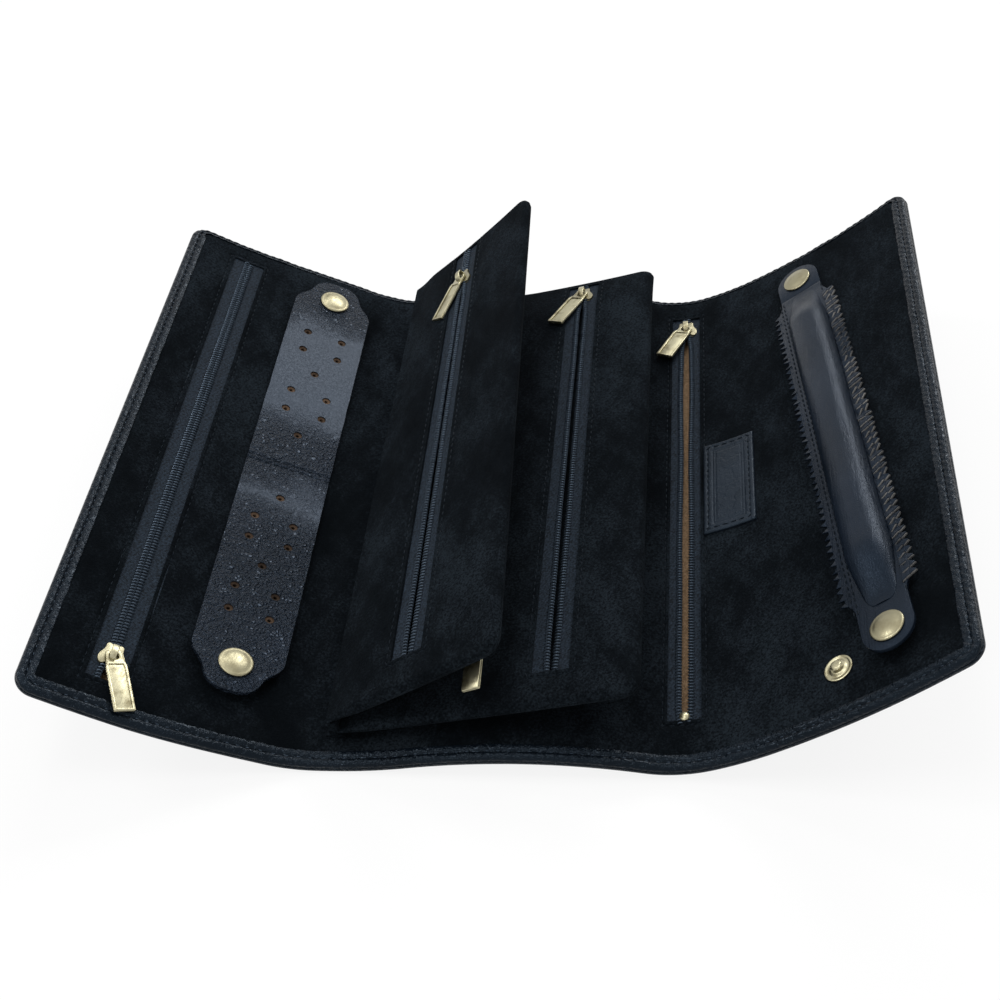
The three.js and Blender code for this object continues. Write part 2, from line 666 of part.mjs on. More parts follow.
// A stud standing on z = 0: flange, raised ring and bulbed post
function studTurning() {
  const flange = STUD_FLANGE_THICKNESS;
  return turned([
    [0, 0],
    [STUD_FLANGE_RADIUS, 0],
    [STUD_FLANGE_RADIUS, flange],
    [STUD_POST_RADIUS, flange],
    [STUD_POST_RADIUS, flange + STUD_NECK_HEIGHT],
    [STUD_BULB_RADIUS, flange + STUD_NECK_HEIGHT + STUD_BULB_CHAMFER],
    [STUD_BULB_RADIUS, STUD_HEIGHT - STUD_BULB_CHAMFER],
    [STUD_BULB_RADIUS * 0.6, STUD_HEIGHT],
    [0, STUD_HEIGHT],
  ]);
}

function shankHole(x, y) {
  const [radius, height] = [SHANK_HOLE_RADIUS, 4 * BAR_LEATHER];
  const geometry = new THREE.CylinderGeometry(radius, radius, height, ROUND_STEPS);
  return geometry.rotateX(Math.PI / 2).translate(x, y, 0);
}

// The earring strip: a sewn middle and two flaps that lift off their studs

const STRIP_SOCKET_TOP = LAYER_GAP + STUD_FLANGE_THICKNESS + SEAT_GAP + SOCKET_HEIGHT;
const FLAP_REACH = STRIP_CAP_PLACE - STRIP_SEAM_WIDTH / 2;
const FLAP_RISE = STRIP_SOCKET_TOP + LAYER_GAP - STRIP_SEAT;
const FLAP_TILT = Math.asin(FLAP_RISE / FLAP_REACH);

// Half of the strip from its seam outwards: straight sides, ogee shoulders, round lobe
function earringOutline() {
  const half = STRIP_WIDTH / 2;
  const lobe = STRIP_LOBE_WIDTH / 2;
  const shoulder = STRIP_SHOULDER - STRIP_SEAM_WIDTH / 2;
  const cap = FLAP_REACH;
  const ogee = cap + STRIP_OGEE_LENGTH;
  const neck = cap + STRIP_NECK_LENGTH;
  const tip = STRIP_TIP - STRIP_SEAM_WIDTH / 2;
  const flare = (half + lobe) / 2;
  const end = lobe * 0.85;
  const shape = new THREE.Shape();
  shape.moveTo(-half, SEAT_GAP);
  shape.lineTo(half, SEAT_GAP);
  shape.lineTo(half, shoulder);
  shape.quadraticCurveTo(half, (shoulder + ogee) / 2, flare, ogee);
  shape.quadraticCurveTo(lobe, (ogee + neck) / 2, end, neck);
  shape.quadraticCurveTo(end * 0.6, tip, 0, tip);
  shape.quadraticCurveTo(-end * 0.6, tip, -end, neck);
  shape.quadraticCurveTo(-lobe, (ogee + neck) / 2, -flare, ogee);
  shape.quadraticCurveTo(-half, (shoulder + ogee) / 2, -half, shoulder);
  for (let k = 0; k < HOLE_GROUPS; k += 1) {
    const first = HOLE_FIRST_ROW + k * HOLE_GROUP_PITCH - STRIP_SEAM_WIDTH / 2;
    const places = [[0, first]];
    for (const step of HOLE_PAIR_STEPS) {
      places.push([-HOLE_PAIR_SPREAD / 2, first + step], [HOLE_PAIR_SPREAD / 2, first + step]);
    }
    for (const [x, y] of places) shape.holes.push(roundHole(x, y, HOLE_DIAMETER / 2));
  }
  shape.holes.push(roundHole(0, cap, SHANK_HOLE_RADIUS));
  return shape;
}

function roundHole(x, y, radius) {
  const path = new THREE.Path();
  path.absarc(x, y, radius, 0, 2 * Math.PI, true);
  return path;
}

// One flap, hinged at the seam and lying along +Y
function earringFlap(name) {
  const leather = mesh(name, 'grain', plate(earringOutline(), -STRIP_THICKNESS, 0, 4));
  const cap = mesh(`${name}_cap`, 'brass', capTurning(STRIP_THICKNESS + LAYER_GAP));
  cap.position.set(0, FLAP_REACH, LAYER_GAP);
  const socket = mesh(`${name}_socket`, 'brass', socketTurning());
  socket.position.set(0, FLAP_REACH, -STRIP_THICKNESS - LAYER_GAP);
  const flap = group(leather, cap, socket);
  flap.rotation.x = FLAP_TILT;
  flap.position.set(0, STRIP_SEAM_WIDTH / 2, STRIP_SEAT + STRIP_THICKNESS);
  return flap;
}

function earringStrip() {
  const halfSeam = STRIP_SEAM_WIDTH / 2;
  const half = STRIP_WIDTH / 2;
  const middle = block(-half, half, -halfSeam, halfSeam, STRIP_SEAT, STRIP_SEAT + STRIP_THICKNESS);
  const seam = mesh('earring_strip_seam', 'grain', middle);
  const back = group(earringFlap('earring_flap_back'));
  const front = group(earringFlap('earring_flap_front'));
  front.rotation.z = Math.PI;
  const studReach = halfSeam + FLAP_REACH * Math.cos(FLAP_TILT) + STRIP_THICKNESS * Math.sin(FLAP_TILT);
  const backStud = mesh('earring_stud_back', 'brass', studTurning());
  backStud.position.set(0, studReach, LAYER_GAP);
  const frontStud = mesh('earring_stud_front', 'brass', studTurning());
  frontStud.position.set(0, -studReach, LAYER_GAP);
  return seat(STRIP_PLACE, LINING_TOP, STRIP_CENTRE, seam, back, front, backStud, frontStud);
}

// The ring bar: a tab on the rivet, a pinked base strip, a padded roll and a snap

// Half the width of the base strip at a distance from the rivet, before pinking
function barHalfWidth(distance) {
  const fromEnd = Math.min(distance, BAR_REACH - distance);
  const t = THREE.MathUtils.clamp((fromEnd - BAR_FLARE_START) / (BAR_FLARE_END - BAR_FLARE_START), 0, 1);
  const smooth = t * t * (3 - 2 * t);
  return BAR_LOBE_RADIUS + (BAR_BASE_WIDTH / 2 - BAR_LOBE_RADIUS) * smooth;
}

// One side of the base strip, from the fold to the far lobe
function barSide() {
  const points = [[BAR_LOBE_RADIUS, BAR_FOLD_PLACE + SEAT_GAP]];
  for (let i = 0; i <= 3; i += 1) {
    const distance = BAR_FLARE_START + ((BAR_FLARE_END - BAR_FLARE_START) * i) / 3;
    points.push([barHalfWidth(distance), distance]);
  }
  const teeth = Math.floor((BAR_REACH - 2 * BAR_FLARE_END) / PINK_PITCH);
  const pitch = (BAR_REACH - 2 * BAR_FLARE_END) / teeth;
  for (let i = 0; i < teeth; i += 1) {
    const start = BAR_FLARE_END + i * pitch;
    points.push([BAR_BASE_WIDTH / 2 + PINK_DEPTH, start + pitch * 0.35]);
    points.push([BAR_BASE_WIDTH / 2, start + pitch]);
  }
  for (let i = 1; i <= 3; i += 1) {
    const distance = BAR_REACH - BAR_FLARE_END + ((BAR_FLARE_END - BAR_FLARE_START) * i) / 3;
    points.push([barHalfWidth(distance), distance]);
  }
  return points;
}

function barOutline() {
  const side = barSide();
  const lobe = [];
  for (let i = 0; i <= 10; i += 1) {
    const angle = (Math.PI * i) / 10;
    const across = BAR_LOBE_RADIUS * Math.cos(angle);
    lobe.push([across, BAR_REACH + BAR_LOBE_RADIUS * Math.sin(angle)]);
  }
  const left = side.map(([x, d]) => [-x, d]).reverse();
  const all = [...side, ...lobe, ...left];
  return polygon(all.map(([x, d]) => [x, BAR_FOLD_PLACE - d]).reverse());
}

function ringBarRoll() {
  const half = ROLL_WIDTH / 2 - ROLL_SHOULDER;
  const near = BAR_FOLD_PLACE - ROLL_START - ROLL_SHOULDER;
  const far = BAR_FOLD_PLACE - BAR_REACH + ROLL_START + ROLL_SHOULDER;
  const outline = polygon([
    [-half * 0.5, far],
    [half * 0.5, far],
    [half, far + ROLL_END_TAPER],
    [half, near - ROLL_END_TAPER],
    [half * 0.5, near],
    [-half * 0.5, near],
    [-half, near - ROLL_END_TAPER],
    [-half, far + ROLL_END_TAPER],
  ]);
  const geometry = new THREE.ExtrudeGeometry(outline, {
    depth: ROLL_HEIGHT,
    bevelThickness: ROLL_SHOULDER,
    bevelSize: ROLL_SHOULDER,
    bevelSegments: 3,
  });
  geometry.translate(0, 0, -ROLL_SHOULDER);
  const keep = block(-ROLL_WIDTH, ROLL_WIDTH, -BAR_REACH, BAR_REACH, 0, ROLL_HEIGHT + ROLL_SHOULDER);
  return clip(geometry, keep);
}

function ringBar() {
  const half = BAR_LOBE_RADIUS;
  const tabOutline = new THREE.Shape();
  tabOutline.moveTo(-half, SEAT_GAP - BAR_FOLD_PLACE);
  tabOutline.lineTo(half, SEAT_GAP - BAR_FOLD_PLACE);
  tabOutline.lineTo(half, 0);
  tabOutline.absarc(0, 0, half, 0, Math.PI);
  tabOutline.holes.push(roundHole(0, 0, SHANK_HOLE_RADIUS));
  const tab = mesh('ring_bar_tab', 'smooth', plate(tabOutline, 0, BAR_LEATHER));

  const capY = BAR_FOLD_PLACE - BAR_REACH;
  const base = cut(plate(barOutline(), -BAR_LEATHER, 0), shankHole(0, capY));
  const strip = mesh('ring_bar_base', 'smooth', base);
  const roll = mesh('ring_bar_roll', 'smooth', ringBarRoll());
  roll.position.z = LAYER_GAP;
  const cap = mesh('ring_bar_snap_cap', 'brass', capTurning(BAR_LEATHER + LAYER_GAP));
  cap.position.set(0, capY, LAYER_GAP);
  const socket = mesh('ring_bar_socket', 'brass', socketTurning());
  socket.position.set(0, capY, -BAR_LEATHER - LAYER_GAP);
  const lifting = group(strip, roll, cap, socket);
  lifting.position.set(0, -BAR_FOLD_PLACE, BAR_LEATHER);
  lifting.rotation.x = -radians(BAR_LIFT_ANGLE);
  const swivelling = group(tab, lifting);
  swivelling.rotation.z = radians(BAR_SWING_ANGLE);
  swivelling.position.z = BAR_SEAT;

  const rivet = mesh('ring_bar_rivet', 'brass', capTurning(BAR_LEATHER + LAYER_GAP));
  rivet.position.z = BAR_SEAT + BAR_LEATHER + LAYER_GAP;
  const stud = mesh('ring_bar_stud', 'brass', studTurning());
  const closed = radians(BAR_CLOSED_ANGLE);
  stud.position.set(BAR_REACH * Math.sin(closed), -BAR_REACH * Math.cos(closed), LAYER_GAP);
  return seat(BAR_PLACE, LINING_TOP, BAR_RIVET_Y, swivelling, rivet, stud);
}

// The sewn patch on the right side, left plain
function labelPatch() {
  const s1 = LABEL_PLACE + LABEL_WIDTH;
  const back = LABEL_FRONT + LABEL_LENGTH;
  const low = LINING_TOP + LAYER_GAP;
  const top = low + LABEL_THICKNESS;
  const body = ribbon(LABEL_PLACE, s1, low, top, LABEL_FRONT, back);
  const grooveFloor = top - LABEL_GROOVE_DEPTH;
  const frame = (inset) => {
    const [a, b] = [LABEL_PLACE + inset, s1 - inset];
    return ribbon(a, b, grooveFloor, top + CUT_MARGIN, LABEL_FRONT + inset, back - inset);
  };
  const groove = cut(frame(LABEL_FRAME), frame(LABEL_FRAME + LABEL_GROOVE_WIDTH));
  return mesh('label_patch', 'leather', cut(body, groove));
}

// Pages

const PAGE_AXIS_PLACE = CENTRE_START + BINDING_PLACE + BINDING_WIDTH / 3;
const BINDING_TOP = LINING_TOP + LAYER_GAP + BINDING_THICKNESS;
const PAGE_AXIS_HEIGHT = BINDING_TOP + SEAT_GAP + PAGE_ROOT_THICKNESS / 2;

function pageBinding() {
  const s0 = CENTRE_START + BINDING_PLACE;
  const low = LINING_TOP + LAYER_GAP;
  const strip = ribbon(s0, s0 + BINDING_WIDTH, low, BINDING_TOP, PAGE_FRONT, PAGE_BACK);
  return mesh('page_binding', 'suede', strip);
}

function pageZip(name, place, side, back, sliderY, pullTurn, pullDroop) {
  const object = zip(name, PAGE_ZIP_FRONT, back, sliderY, pullTurn, pullDroop);
  object.position.set(place, 0, side * PAGE_TAPE_HEIGHT);
  if (side < 0) object.rotation.y = Math.PI;
  return object;
}

function pageOne() {
  const leaf = (name, side, zipPlace) => {
    return pageLeaf(name, PAGE_1_WIDTH, side, PAGE_BACK, PAGE_ZIP_BACK, zipPlace);
  };
  const upper = leaf('page_1_upper_leaf', 1, PAGE_1_ZIP_PLACE);
  const lower = leaf('page_1_lower_leaf', -1, PAGE_1_REVERSE_ZIP_PLACE);
  const top = pageZip(
    'page_1_zip',
    PAGE_1_ZIP_PLACE,
    1,
    PAGE_ZIP_BACK,
    PAGE_1_SLIDER_Y,
    PAGE_1_PULL_ANGLE,
  );
  const reverse = pageZip(
    'page_1_reverse_zip',
    PAGE_1_REVERSE_ZIP_PLACE,
    -1,
    PAGE_ZIP_BACK,
    PAGE_1_REVERSE_SLIDER_Y,
    PAGE_1_REVERSE_PULL_ANGLE,
    -PAGE_1_REVERSE_PULL_DROOP_ANGLE,
  );
  return group(upper, lower, top, reverse);
}

// The folded gusset on the lower page's root carries the upper page
function rootGusset() {
  const top = PAGE_STACK - PAGE_ROOT_THICKNESS / 2 - SEAT_GAP;
  return block(2 * SEAT_GAP, SEAT_GAP + PAGE_ROOT_THICKNESS, PAGE_FRONT, PAGE_BACK, SEAT_GAP, top);
}

function pages() {
  const leaf = (name, side, zipPlace) => {
    return pageLeaf(name, PAGE_2_WIDTH, side, PAGE_2_BACK, PAGE_2_ZIP_BACK, zipPlace);
  };
  const upper = leaf('page_2_upper_leaf', 1, PAGE_2_ZIP_PLACE);
  upper.geometry = join(upper.geometry, rootGusset());
  const lower = leaf('page_2_lower_leaf', -1);
  const top = pageZip(
    'page_2_zip',
    PAGE_2_ZIP_PLACE,
    1,
    PAGE_2_ZIP_BACK,
    PAGE_2_SLIDER_Y,
    PAGE_2_PULL_ANGLE,
  );
  const first = pageOne();
  first.position.z = PAGE_STACK;
  first.rotation.y = -radians(PAGE_1_ANGLE - PAGE_2_ANGLE);
  const second = group(upper, lower, top, first);
  const [x, z] = faceAt(PAGE_AXIS_PLACE, PAGE_AXIS_HEIGHT);
  second.position.set(x, 0, z);
  second.rotation.y = -radians(PAGE_2_ANGLE);
  return second;
}

// Assembly

const COVER_TAPE_HEIGHT = LINING_LOW - SEAT_GAP - TAPE_THICKNESS / 2;
const BOARD_WINDOW_HALF = TAPE_HALF_WIDTH + TAPE_CLEARANCE;

function zipWindow(place, halfWidth, front, back) {
  return windowTool(place, halfWidth, front + ZIP_END_MARGIN, back - ZIP_END_MARGIN);
}

function boardWindow(place, front, back) {
  return windowTool(place, BOARD_WINDOW_HALF, front - TAPE_CLEARANCE, back + TAPE_CLEARANCE);
}

// The metal stop that holds the two rows together at the front end of the right zip
function zipStop(name, front) {
  const stop = mesh(name, 'brass', turned([
    [0, 0],
    [STOP_RADIUS, 0],
    [STOP_RADIUS, STOP_HEIGHT / 2],
    [STOP_RADIUS * 0.7, STOP_HEIGHT * 0.9],
    [0, STOP_HEIGHT],
  ], STOP_STEPS));
  stop.position.set(0, front + STOP_INSET, COIL_THICKNESS / 2 + LAYER_GAP);
  return stop;
}

function pocketBag(name, centre, width, front, back) {
  const [s0, s1] = [centre - width / 2, centre + width / 2];
  return mesh(name, 'bag', ribbon(s0, s1, BOARD_LOW, BAG_TOP, front - ZIP_END_MARGIN, back + ZIP_END_MARGIN));
}

function leftFlap() {
  const [s0, s1] = [0, LEFT_FLAP_WIDTH];
  const liningWindow = zipWindow(LEFT_ZIP_PLACE, WINDOW_HALF_WIDTH, LEFT_ZIP_FRONT, LEFT_ZIP_BACK);
  const boardOpening = boardWindow(LEFT_ZIP_PLACE, LEFT_ZIP_FRONT, LEFT_ZIP_BACK);
  const bagCentre = RIM_WIDTH + BAG_EDGE_INSET + LEFT_BAG_WIDTH / 2;
  const bagFront = LEFT_ZIP_FRONT + LEFT_BAG_FRONT_INSET;
  const bagBack = LEFT_ZIP_BACK - LEFT_BAG_BACK_INSET;
  const zipGroup = zip('left_zip', LEFT_ZIP_FRONT, LEFT_ZIP_BACK, LEFT_SLIDER_Y, LEFT_PULL_ANGLE);
  return group(
    coverPanel('cover_left_flap', s0, s1, -1),
    lining('lining_left_flap', s0, s1, -1, LINING_LOW, [liningWindow]),
    board('board_left_flap', s0, s1, -1, BAG_TOP + LAYER_GAP, [boardOpening]),
    pocketBag('left_pocket_bag', bagCentre, LEFT_BAG_WIDTH, bagFront, bagBack),
    seat(LEFT_ZIP_PLACE, COVER_TAPE_HEIGHT, 0, zipGroup),
    earringStrip(),
  );
}

function leftSpine() {
  const [s0, s1] = [LEFT_SPINE_START, CENTRE_START];
  return group(
    coverPanel('cover_left_spine', s0, s1, 0),
    lining('lining_left_spine', s0, s1, 0, BOARD_LOW),
  );
}

function centrePanel() {
  const [s0, s1] = [CENTRE_START, CENTRE_END];
  return group(
    coverPanel('cover_centre', s0, s1, 0),
    lining('lining_centre', s0, s1, 0),
    board('board_centre', s0, s1, 0),
    pageBinding(),
  );
}

function rightSpine() {
  const [s0, s1] = [CENTRE_END, RIGHT_SPINE_END];
  const place = s0 + RIGHT_ZIP_PLACE;
  const liningWindow = zipWindow(place, WINDOW_HALF_WIDTH, RIGHT_ZIP_FRONT, RIGHT_ZIP_BACK);
  const boardOpening = boardWindow(place, RIGHT_ZIP_FRONT, RIGHT_ZIP_BACK);
  const bagCentre = (s0 + s1) / 2;
  const [front, end] = [RIGHT_ZIP_FRONT, RIGHT_ZIP_BACK];
  const zipGroup = zip('right_zip', front, end, RIGHT_SLIDER_Y, RIGHT_PULL_ANGLE, RIGHT_PULL_DROOP_ANGLE);
  return group(
    coverPanel('cover_right_spine', s0, s1, 0),
    lining('lining_right_spine', s0, s1, 0, LINING_LOW, [liningWindow]),
    board('board_right_spine', s0, s1, 0, BAG_TOP + LAYER_GAP, [boardOpening]),
    pocketBag('right_pocket_bag', bagCentre, RIGHT_BAG_WIDTH, RIGHT_ZIP_FRONT, RIGHT_ZIP_BACK),
    seat(place, COVER_TAPE_HEIGHT, 0, zipGroup, zipStop('right_zip_stop', RIGHT_ZIP_FRONT)),
    labelPatch(),
  );
}

function rightFlap() {
  const [s0, s1] = [RIGHT_SPINE_END, COVER_WIDTH];
  return group(
    coverPanel('cover_right_flap', s0, s1, 1),
    lining('lining_right_flap', s0, s1, 1),
    board('board_right_flap', s0, s1, 1),
    ringBar(),
  );
}

// The open case, standing on z = 0 with its middle over the origin
const openCase = group(leftFlap(), leftSpine(), centrePanel(), pages(), rightSpine(), rightFlap());
const room = new THREE.Box3().setFromObject(openCase, true);
const middle = room.getCenter(new THREE.Vector3());
openCase.position.set(-middle.x, -middle.y, -room.min.z);

export default group(openCase);
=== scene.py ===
"""A trifold jewelry case lying open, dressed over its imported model.

Lengths are in metres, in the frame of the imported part: X across the folds, Y along
them away from the viewer, Z up.
"""

from __future__ import annotations

import logging
import math
from dataclasses import dataclass, field
from enum import Enum
from typing import Callable, Sequence

import bmesh
import bpy
import numpy as np
from mathutils import Matrix, Vector, noise


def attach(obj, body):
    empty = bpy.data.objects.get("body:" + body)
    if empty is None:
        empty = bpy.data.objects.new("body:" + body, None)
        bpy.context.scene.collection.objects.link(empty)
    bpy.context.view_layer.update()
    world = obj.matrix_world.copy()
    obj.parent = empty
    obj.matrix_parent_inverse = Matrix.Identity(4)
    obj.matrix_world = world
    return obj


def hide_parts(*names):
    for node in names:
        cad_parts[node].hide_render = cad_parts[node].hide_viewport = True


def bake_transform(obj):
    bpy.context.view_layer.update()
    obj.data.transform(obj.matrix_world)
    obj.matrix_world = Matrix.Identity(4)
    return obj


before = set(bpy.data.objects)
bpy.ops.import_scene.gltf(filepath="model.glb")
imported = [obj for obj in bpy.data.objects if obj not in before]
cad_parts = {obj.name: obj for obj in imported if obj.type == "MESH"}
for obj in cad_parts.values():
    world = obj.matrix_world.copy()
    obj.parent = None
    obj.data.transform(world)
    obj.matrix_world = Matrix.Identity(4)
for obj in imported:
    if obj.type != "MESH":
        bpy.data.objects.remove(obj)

LOG = logging.getLogger("jewelry_case")
MM = 0.001
HALF_LENGTH = 120.5 * MM
LINING_TOP = 4.2 * MM
FRONT_DRAW = 1.3 * MM
BACK_SWELL = 3.6 * MM
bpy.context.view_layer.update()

Piece = bpy.types.Object
Socket = bpy.types.NodeSocket
Triple = tuple[float, float, float]


def share(value: np.ndarray, low: float, high: float) -> np.ndarray:
    """How far each value has come from low to high, from 0 to 1."""
    return np.clip((value - low) / (high - low), 0, 1)


def eased(part: np.ndarray) -> np.ndarray:
    """A share from 0 to 1 that starts and ends softly."""
    return part * part * (3 - 2 * part)


def bell(distance: np.ndarray, width: float) -> np.ndarray:
    """A bell curve of height 1 over a distance."""
    return np.exp(-((distance / width) ** 2))


# ---- cross-section


@dataclass(frozen=True)
class Seat:
    """A flat place on the case: an origin and three unit axes."""

    origin: np.ndarray
    x: np.ndarray
    y: np.ndarray
    z: np.ndarray

    def place(self, points: np.ndarray) -> np.ndarray:
        """Points of this seat's own axes, moved to the row frame."""
        return self.origin + np.asarray(points, float) @ np.stack([self.x, self.y, self.z])

    def turned(self, axis: str, degrees: float) -> "Seat":
        """This seat turned about one of its own axes, "x", "y" or "z"."""
        about = {"x": self.x, "y": self.y, "z": self.z}[axis]
        turn = np.array(Matrix.Rotation(math.radians(degrees), 3, Vector(about)))
        return Seat(self.origin, turn @ self.x, turn @ self.y, turn @ self.z)

    def moved(self, x: float = 0.0, y: float = 0.0, z: float = 0.0) -> "Seat":
        """This seat moved along its own axes."""
        return Seat(self.place(np.array([x, y, z])), self.x, self.y, self.z)


@dataclass(frozen=True)
class CoverProfile:
    """The cover's cross-section: a chain of arcs from the left edge to the right edge.

    A place is given by s, the distance along the outer face from the left edge, by y,
    and by the height above the outer face.
    """

    start_heading: float = -31.4
    arcs: tuple[tuple[float, float], ...] = (
        (77.4 * MM, 9.4),
        (16 * MM, 20.0),
        (28 * MM, 12.0),
        (72 * MM, -20.0),
        (22 * MM, 30.0),
        (20 * MM, 10.0),
        (71 * MM, 14.0),
    )

    def outer(self, s: np.ndarray) -> tuple[np.ndarray, np.ndarray, np.ndarray]:
        """The outer face's x, z and heading at each s, before centring."""
        s = np.asarray(s, float)
        starts, heading, x, z, begin = [], math.radians(self.start_heading), 0.0, 0.0, 0.0
        for width, bend in self.arcs:
            starts.append((begin, x, z, heading, math.radians(bend) / width))
            turn = math.radians(bend)
            chord = 2 * width * math.sin(turn / 2) / turn
            x += chord * math.cos(heading + turn / 2)
            z += chord * math.sin(heading + turn / 2)
            heading += turn
            begin += width
        begins = np.array([row[0] for row in starts])
        index = np.clip(np.searchsorted(begins, s, side="right") - 1, 0, len(starts) - 1)
        table = np.array(starts)[index]
        run = s - table[..., 0]
        turn = table[..., 4] * run
        safe = np.where(np.abs(turn) < 1e-9, 1.0, turn)
        chord = np.where(np.abs(turn) < 1e-9, run, 2 * run * np.sin(turn / 2) / safe)
        middle = table[..., 3] + turn / 2
        return (
            table[..., 1] + chord * np.cos(middle),
            table[..., 2] + chord * np.sin(middle),
            table[..., 3] + turn,
        )

    @property
    def width(self) -> float:
        """The cover's whole width along its outer face."""
        return sum(width for width, _ in self.arcs)

    def centre(self) -> tuple[float, float]:
        """The x of the middle and the z of the lowest point, before centring."""
        x, z, _ = self.outer(np.linspace(0, self.width, 400))
        return (x[0] + x[-1]) / 2, z.min()

    def drawn(self, s: np.ndarray, y: np.ndarray) -> np.ndarray:
        """Each y, with the front edge a little wavy and the back edge full near the left spine."""
        wave = 2 * eased(share(s, 30 * MM, 100 * MM)) - 1 + 0.9 * share(s, 200 * MM, 290 * MM)
        front = FRONT_DRAW * wave * share(-y, 96 * MM, HALF_LENGTH)
        back = BACK_SWELL * bell(s - 66 * MM, 44 * MM) * share(y, 60 * MM, HALF_LENGTH) ** 2
        return y + front + back

    def place(self, s: np.ndarray, y: np.ndarray, height: np.ndarray) -> np.ndarray:
        """Points of the row frame at each s, y and height."""
        s, y, height = np.broadcast_arrays(s, y, height)
        x, z, heading = self.outer(s)
        x_middle, z_low = self.centre()
        across = x - height * np.sin(heading) - x_middle
        up = z + height * np.cos(heading) - z_low
        return np.stack([across, self.drawn(s, y), up], axis=-1)

    def seat(self, s: float, y: float, height: float) -> Seat:
        """A seat whose x runs along the lining and whose z stands off it."""
        origin = self.place(np.array(s), np.array(y), np.array(height))
        heading = float(self.outer(np.array(s))[2])
        across = np.array([math.cos(heading), 0.0, math.sin(heading)])
        up = np.array([-math.sin(heading), 0.0, math.cos(heading)])
        return Seat(origin, across, np.array([0.0, 1.0, 0.0]), up)


PROFILE = CoverProfile()


# ---- finishes


class NodeSheet:
    """A node tree under construction: its nodes, made and linked in few words."""

    def __init__(self, tree: bpy.types.NodeTree) -> None:
        """Takes the tree that the nodes go into."""
        self.tree = tree

    def node(
        self, kind: str, values: dict[str | int, object] | None = None, **settings: object
    ) -> bpy.types.Node:
        """Adds a node.

        Args:
            kind: The node's Blender type.
            values: Input names or numbers with a value, or with a socket to link from.
            settings: Properties of the node itself.

        Returns:
            The new node.
        """
        made = self.tree.nodes.new(kind)
        for key, value in settings.items():
            setattr(made, key, value)
        for key, value in (values or {}).items():
            self.feed(made.inputs[key], value)
        return made

    def feed(self, socket: Socket, value: object) -> None:
        """Gives a socket a constant, or links another socket to it."""
        if isinstance(value, Socket):
            self.tree.links.new(value, socket)
        else:
            socket.default_value = value

    def math(self, operation: str, a: object, b: object = 0.0) -> Socket:
        """One step of arithmetic."""
        return self.node("ShaderNodeMath", {0: a, 1: b}, operation=operation).outputs[0]

    def span(self, value: object, low: float, high: float, out_low: float, out_high: float) -> Socket:
        """A value mapped from one range to another and clamped."""
        ends = {"From Min": low, "From Max": high, "To Min": out_low, "To Max": out_high}
        return self.node("ShaderNodeMapRange", {"Value": value, **ends}).outputs["Result"]

    def seen(self) -> Socket:
        """1 for rays that show the background to the eye, straight, mirrored or through glass."""
        path = self.node("ShaderNodeLightPath")
        either = self.math("MAXIMUM", path.outputs["Is Camera Ray"], path.outputs["Is Glossy Ray"])
        return self.math("MAXIMUM", either, path.outputs["Is Transmission Ray"])


class ShaderSheet(NodeSheet):
    """A material under construction."""

    def __init__(self, name: str) -> None:
        """Starts a material with one Principled shader."""
        self.material = bpy.data.materials.new(name)
        self.material.use_nodes = True
        super().__init__(self.material.node_tree)
        self.principled = self.tree.nodes["Principled BSDF"]

    def place(self, scale: Triple = (1, 1, 1), turn: float = 0.0) -> Socket:
        """Object coordinates, turned about Z by degrees and then stretched by a scale."""
        source = self.node("ShaderNodeTexCoord").outputs["Object"]
        if turn:
            angles = (0.0, 0.0, math.radians(turn))
            turned = self.node("ShaderNodeMapping", {"Vector": source, "Rotation": angles})
            source = turned.outputs["Vector"]
        return self.node("ShaderNodeMapping", {"Vector": source, "Scale": scale}).outputs["Vector"]

    def axis(self, letter: str) -> Socket:
        """One of the object coordinates, "X", "Y" or "Z"."""
        source = self.node("ShaderNodeTexCoord").outputs["Object"]
        return self.node("ShaderNodeSeparateXYZ", {"Vector": source}).outputs[letter]

    def noise(
        self, scale: float, detail: float = 3.0, rough: float = 0.5, vector: Socket | None = None
    ) -> Socket:
        """A noise texture's value."""
        values = {"Scale": scale, "Detail": detail, "Roughness": rough, "Vector": vector or self.place()}
        return self.node("ShaderNodeTexNoise", values).outputs["Fac"]

    def ramp(self, value: Socket, *stops: tuple[float, Triple]) -> Socket:
        """A colour ramp through (place, colour) stops."""
        made = self.node("ShaderNodeValToRGB", {"Fac": value})
        elements = made.color_ramp.elements
        while len(elements) < len(stops):
            elements.new(0.5)
        for element, (place, colour) in zip(elements, stops):
            element.position = place
            element.color = (*colour, 1.0)
        return made.outputs["Color"]

    def bump(self, height: Socket, strength: object, depth: float, under: Socket | None = None) -> Socket:
        """A bump of the given depth in metres, laid over an earlier one."""
        values: dict[str, object] = {"Height": height, "Strength": strength, "Distance": depth}
        if under is not None:
            values["Normal"] = under
        return self.node("ShaderNodeBump", values).outputs["Normal"]

    def finish(self, **inputs: object) -> bpy.types.Material:
        """Feeds the Principled shader, whose input names have _ for a space, and ends."""
        for key, value in inputs.items():
            self.feed(self.principled.inputs[key.replace("_", " ")], value)
        return self.material


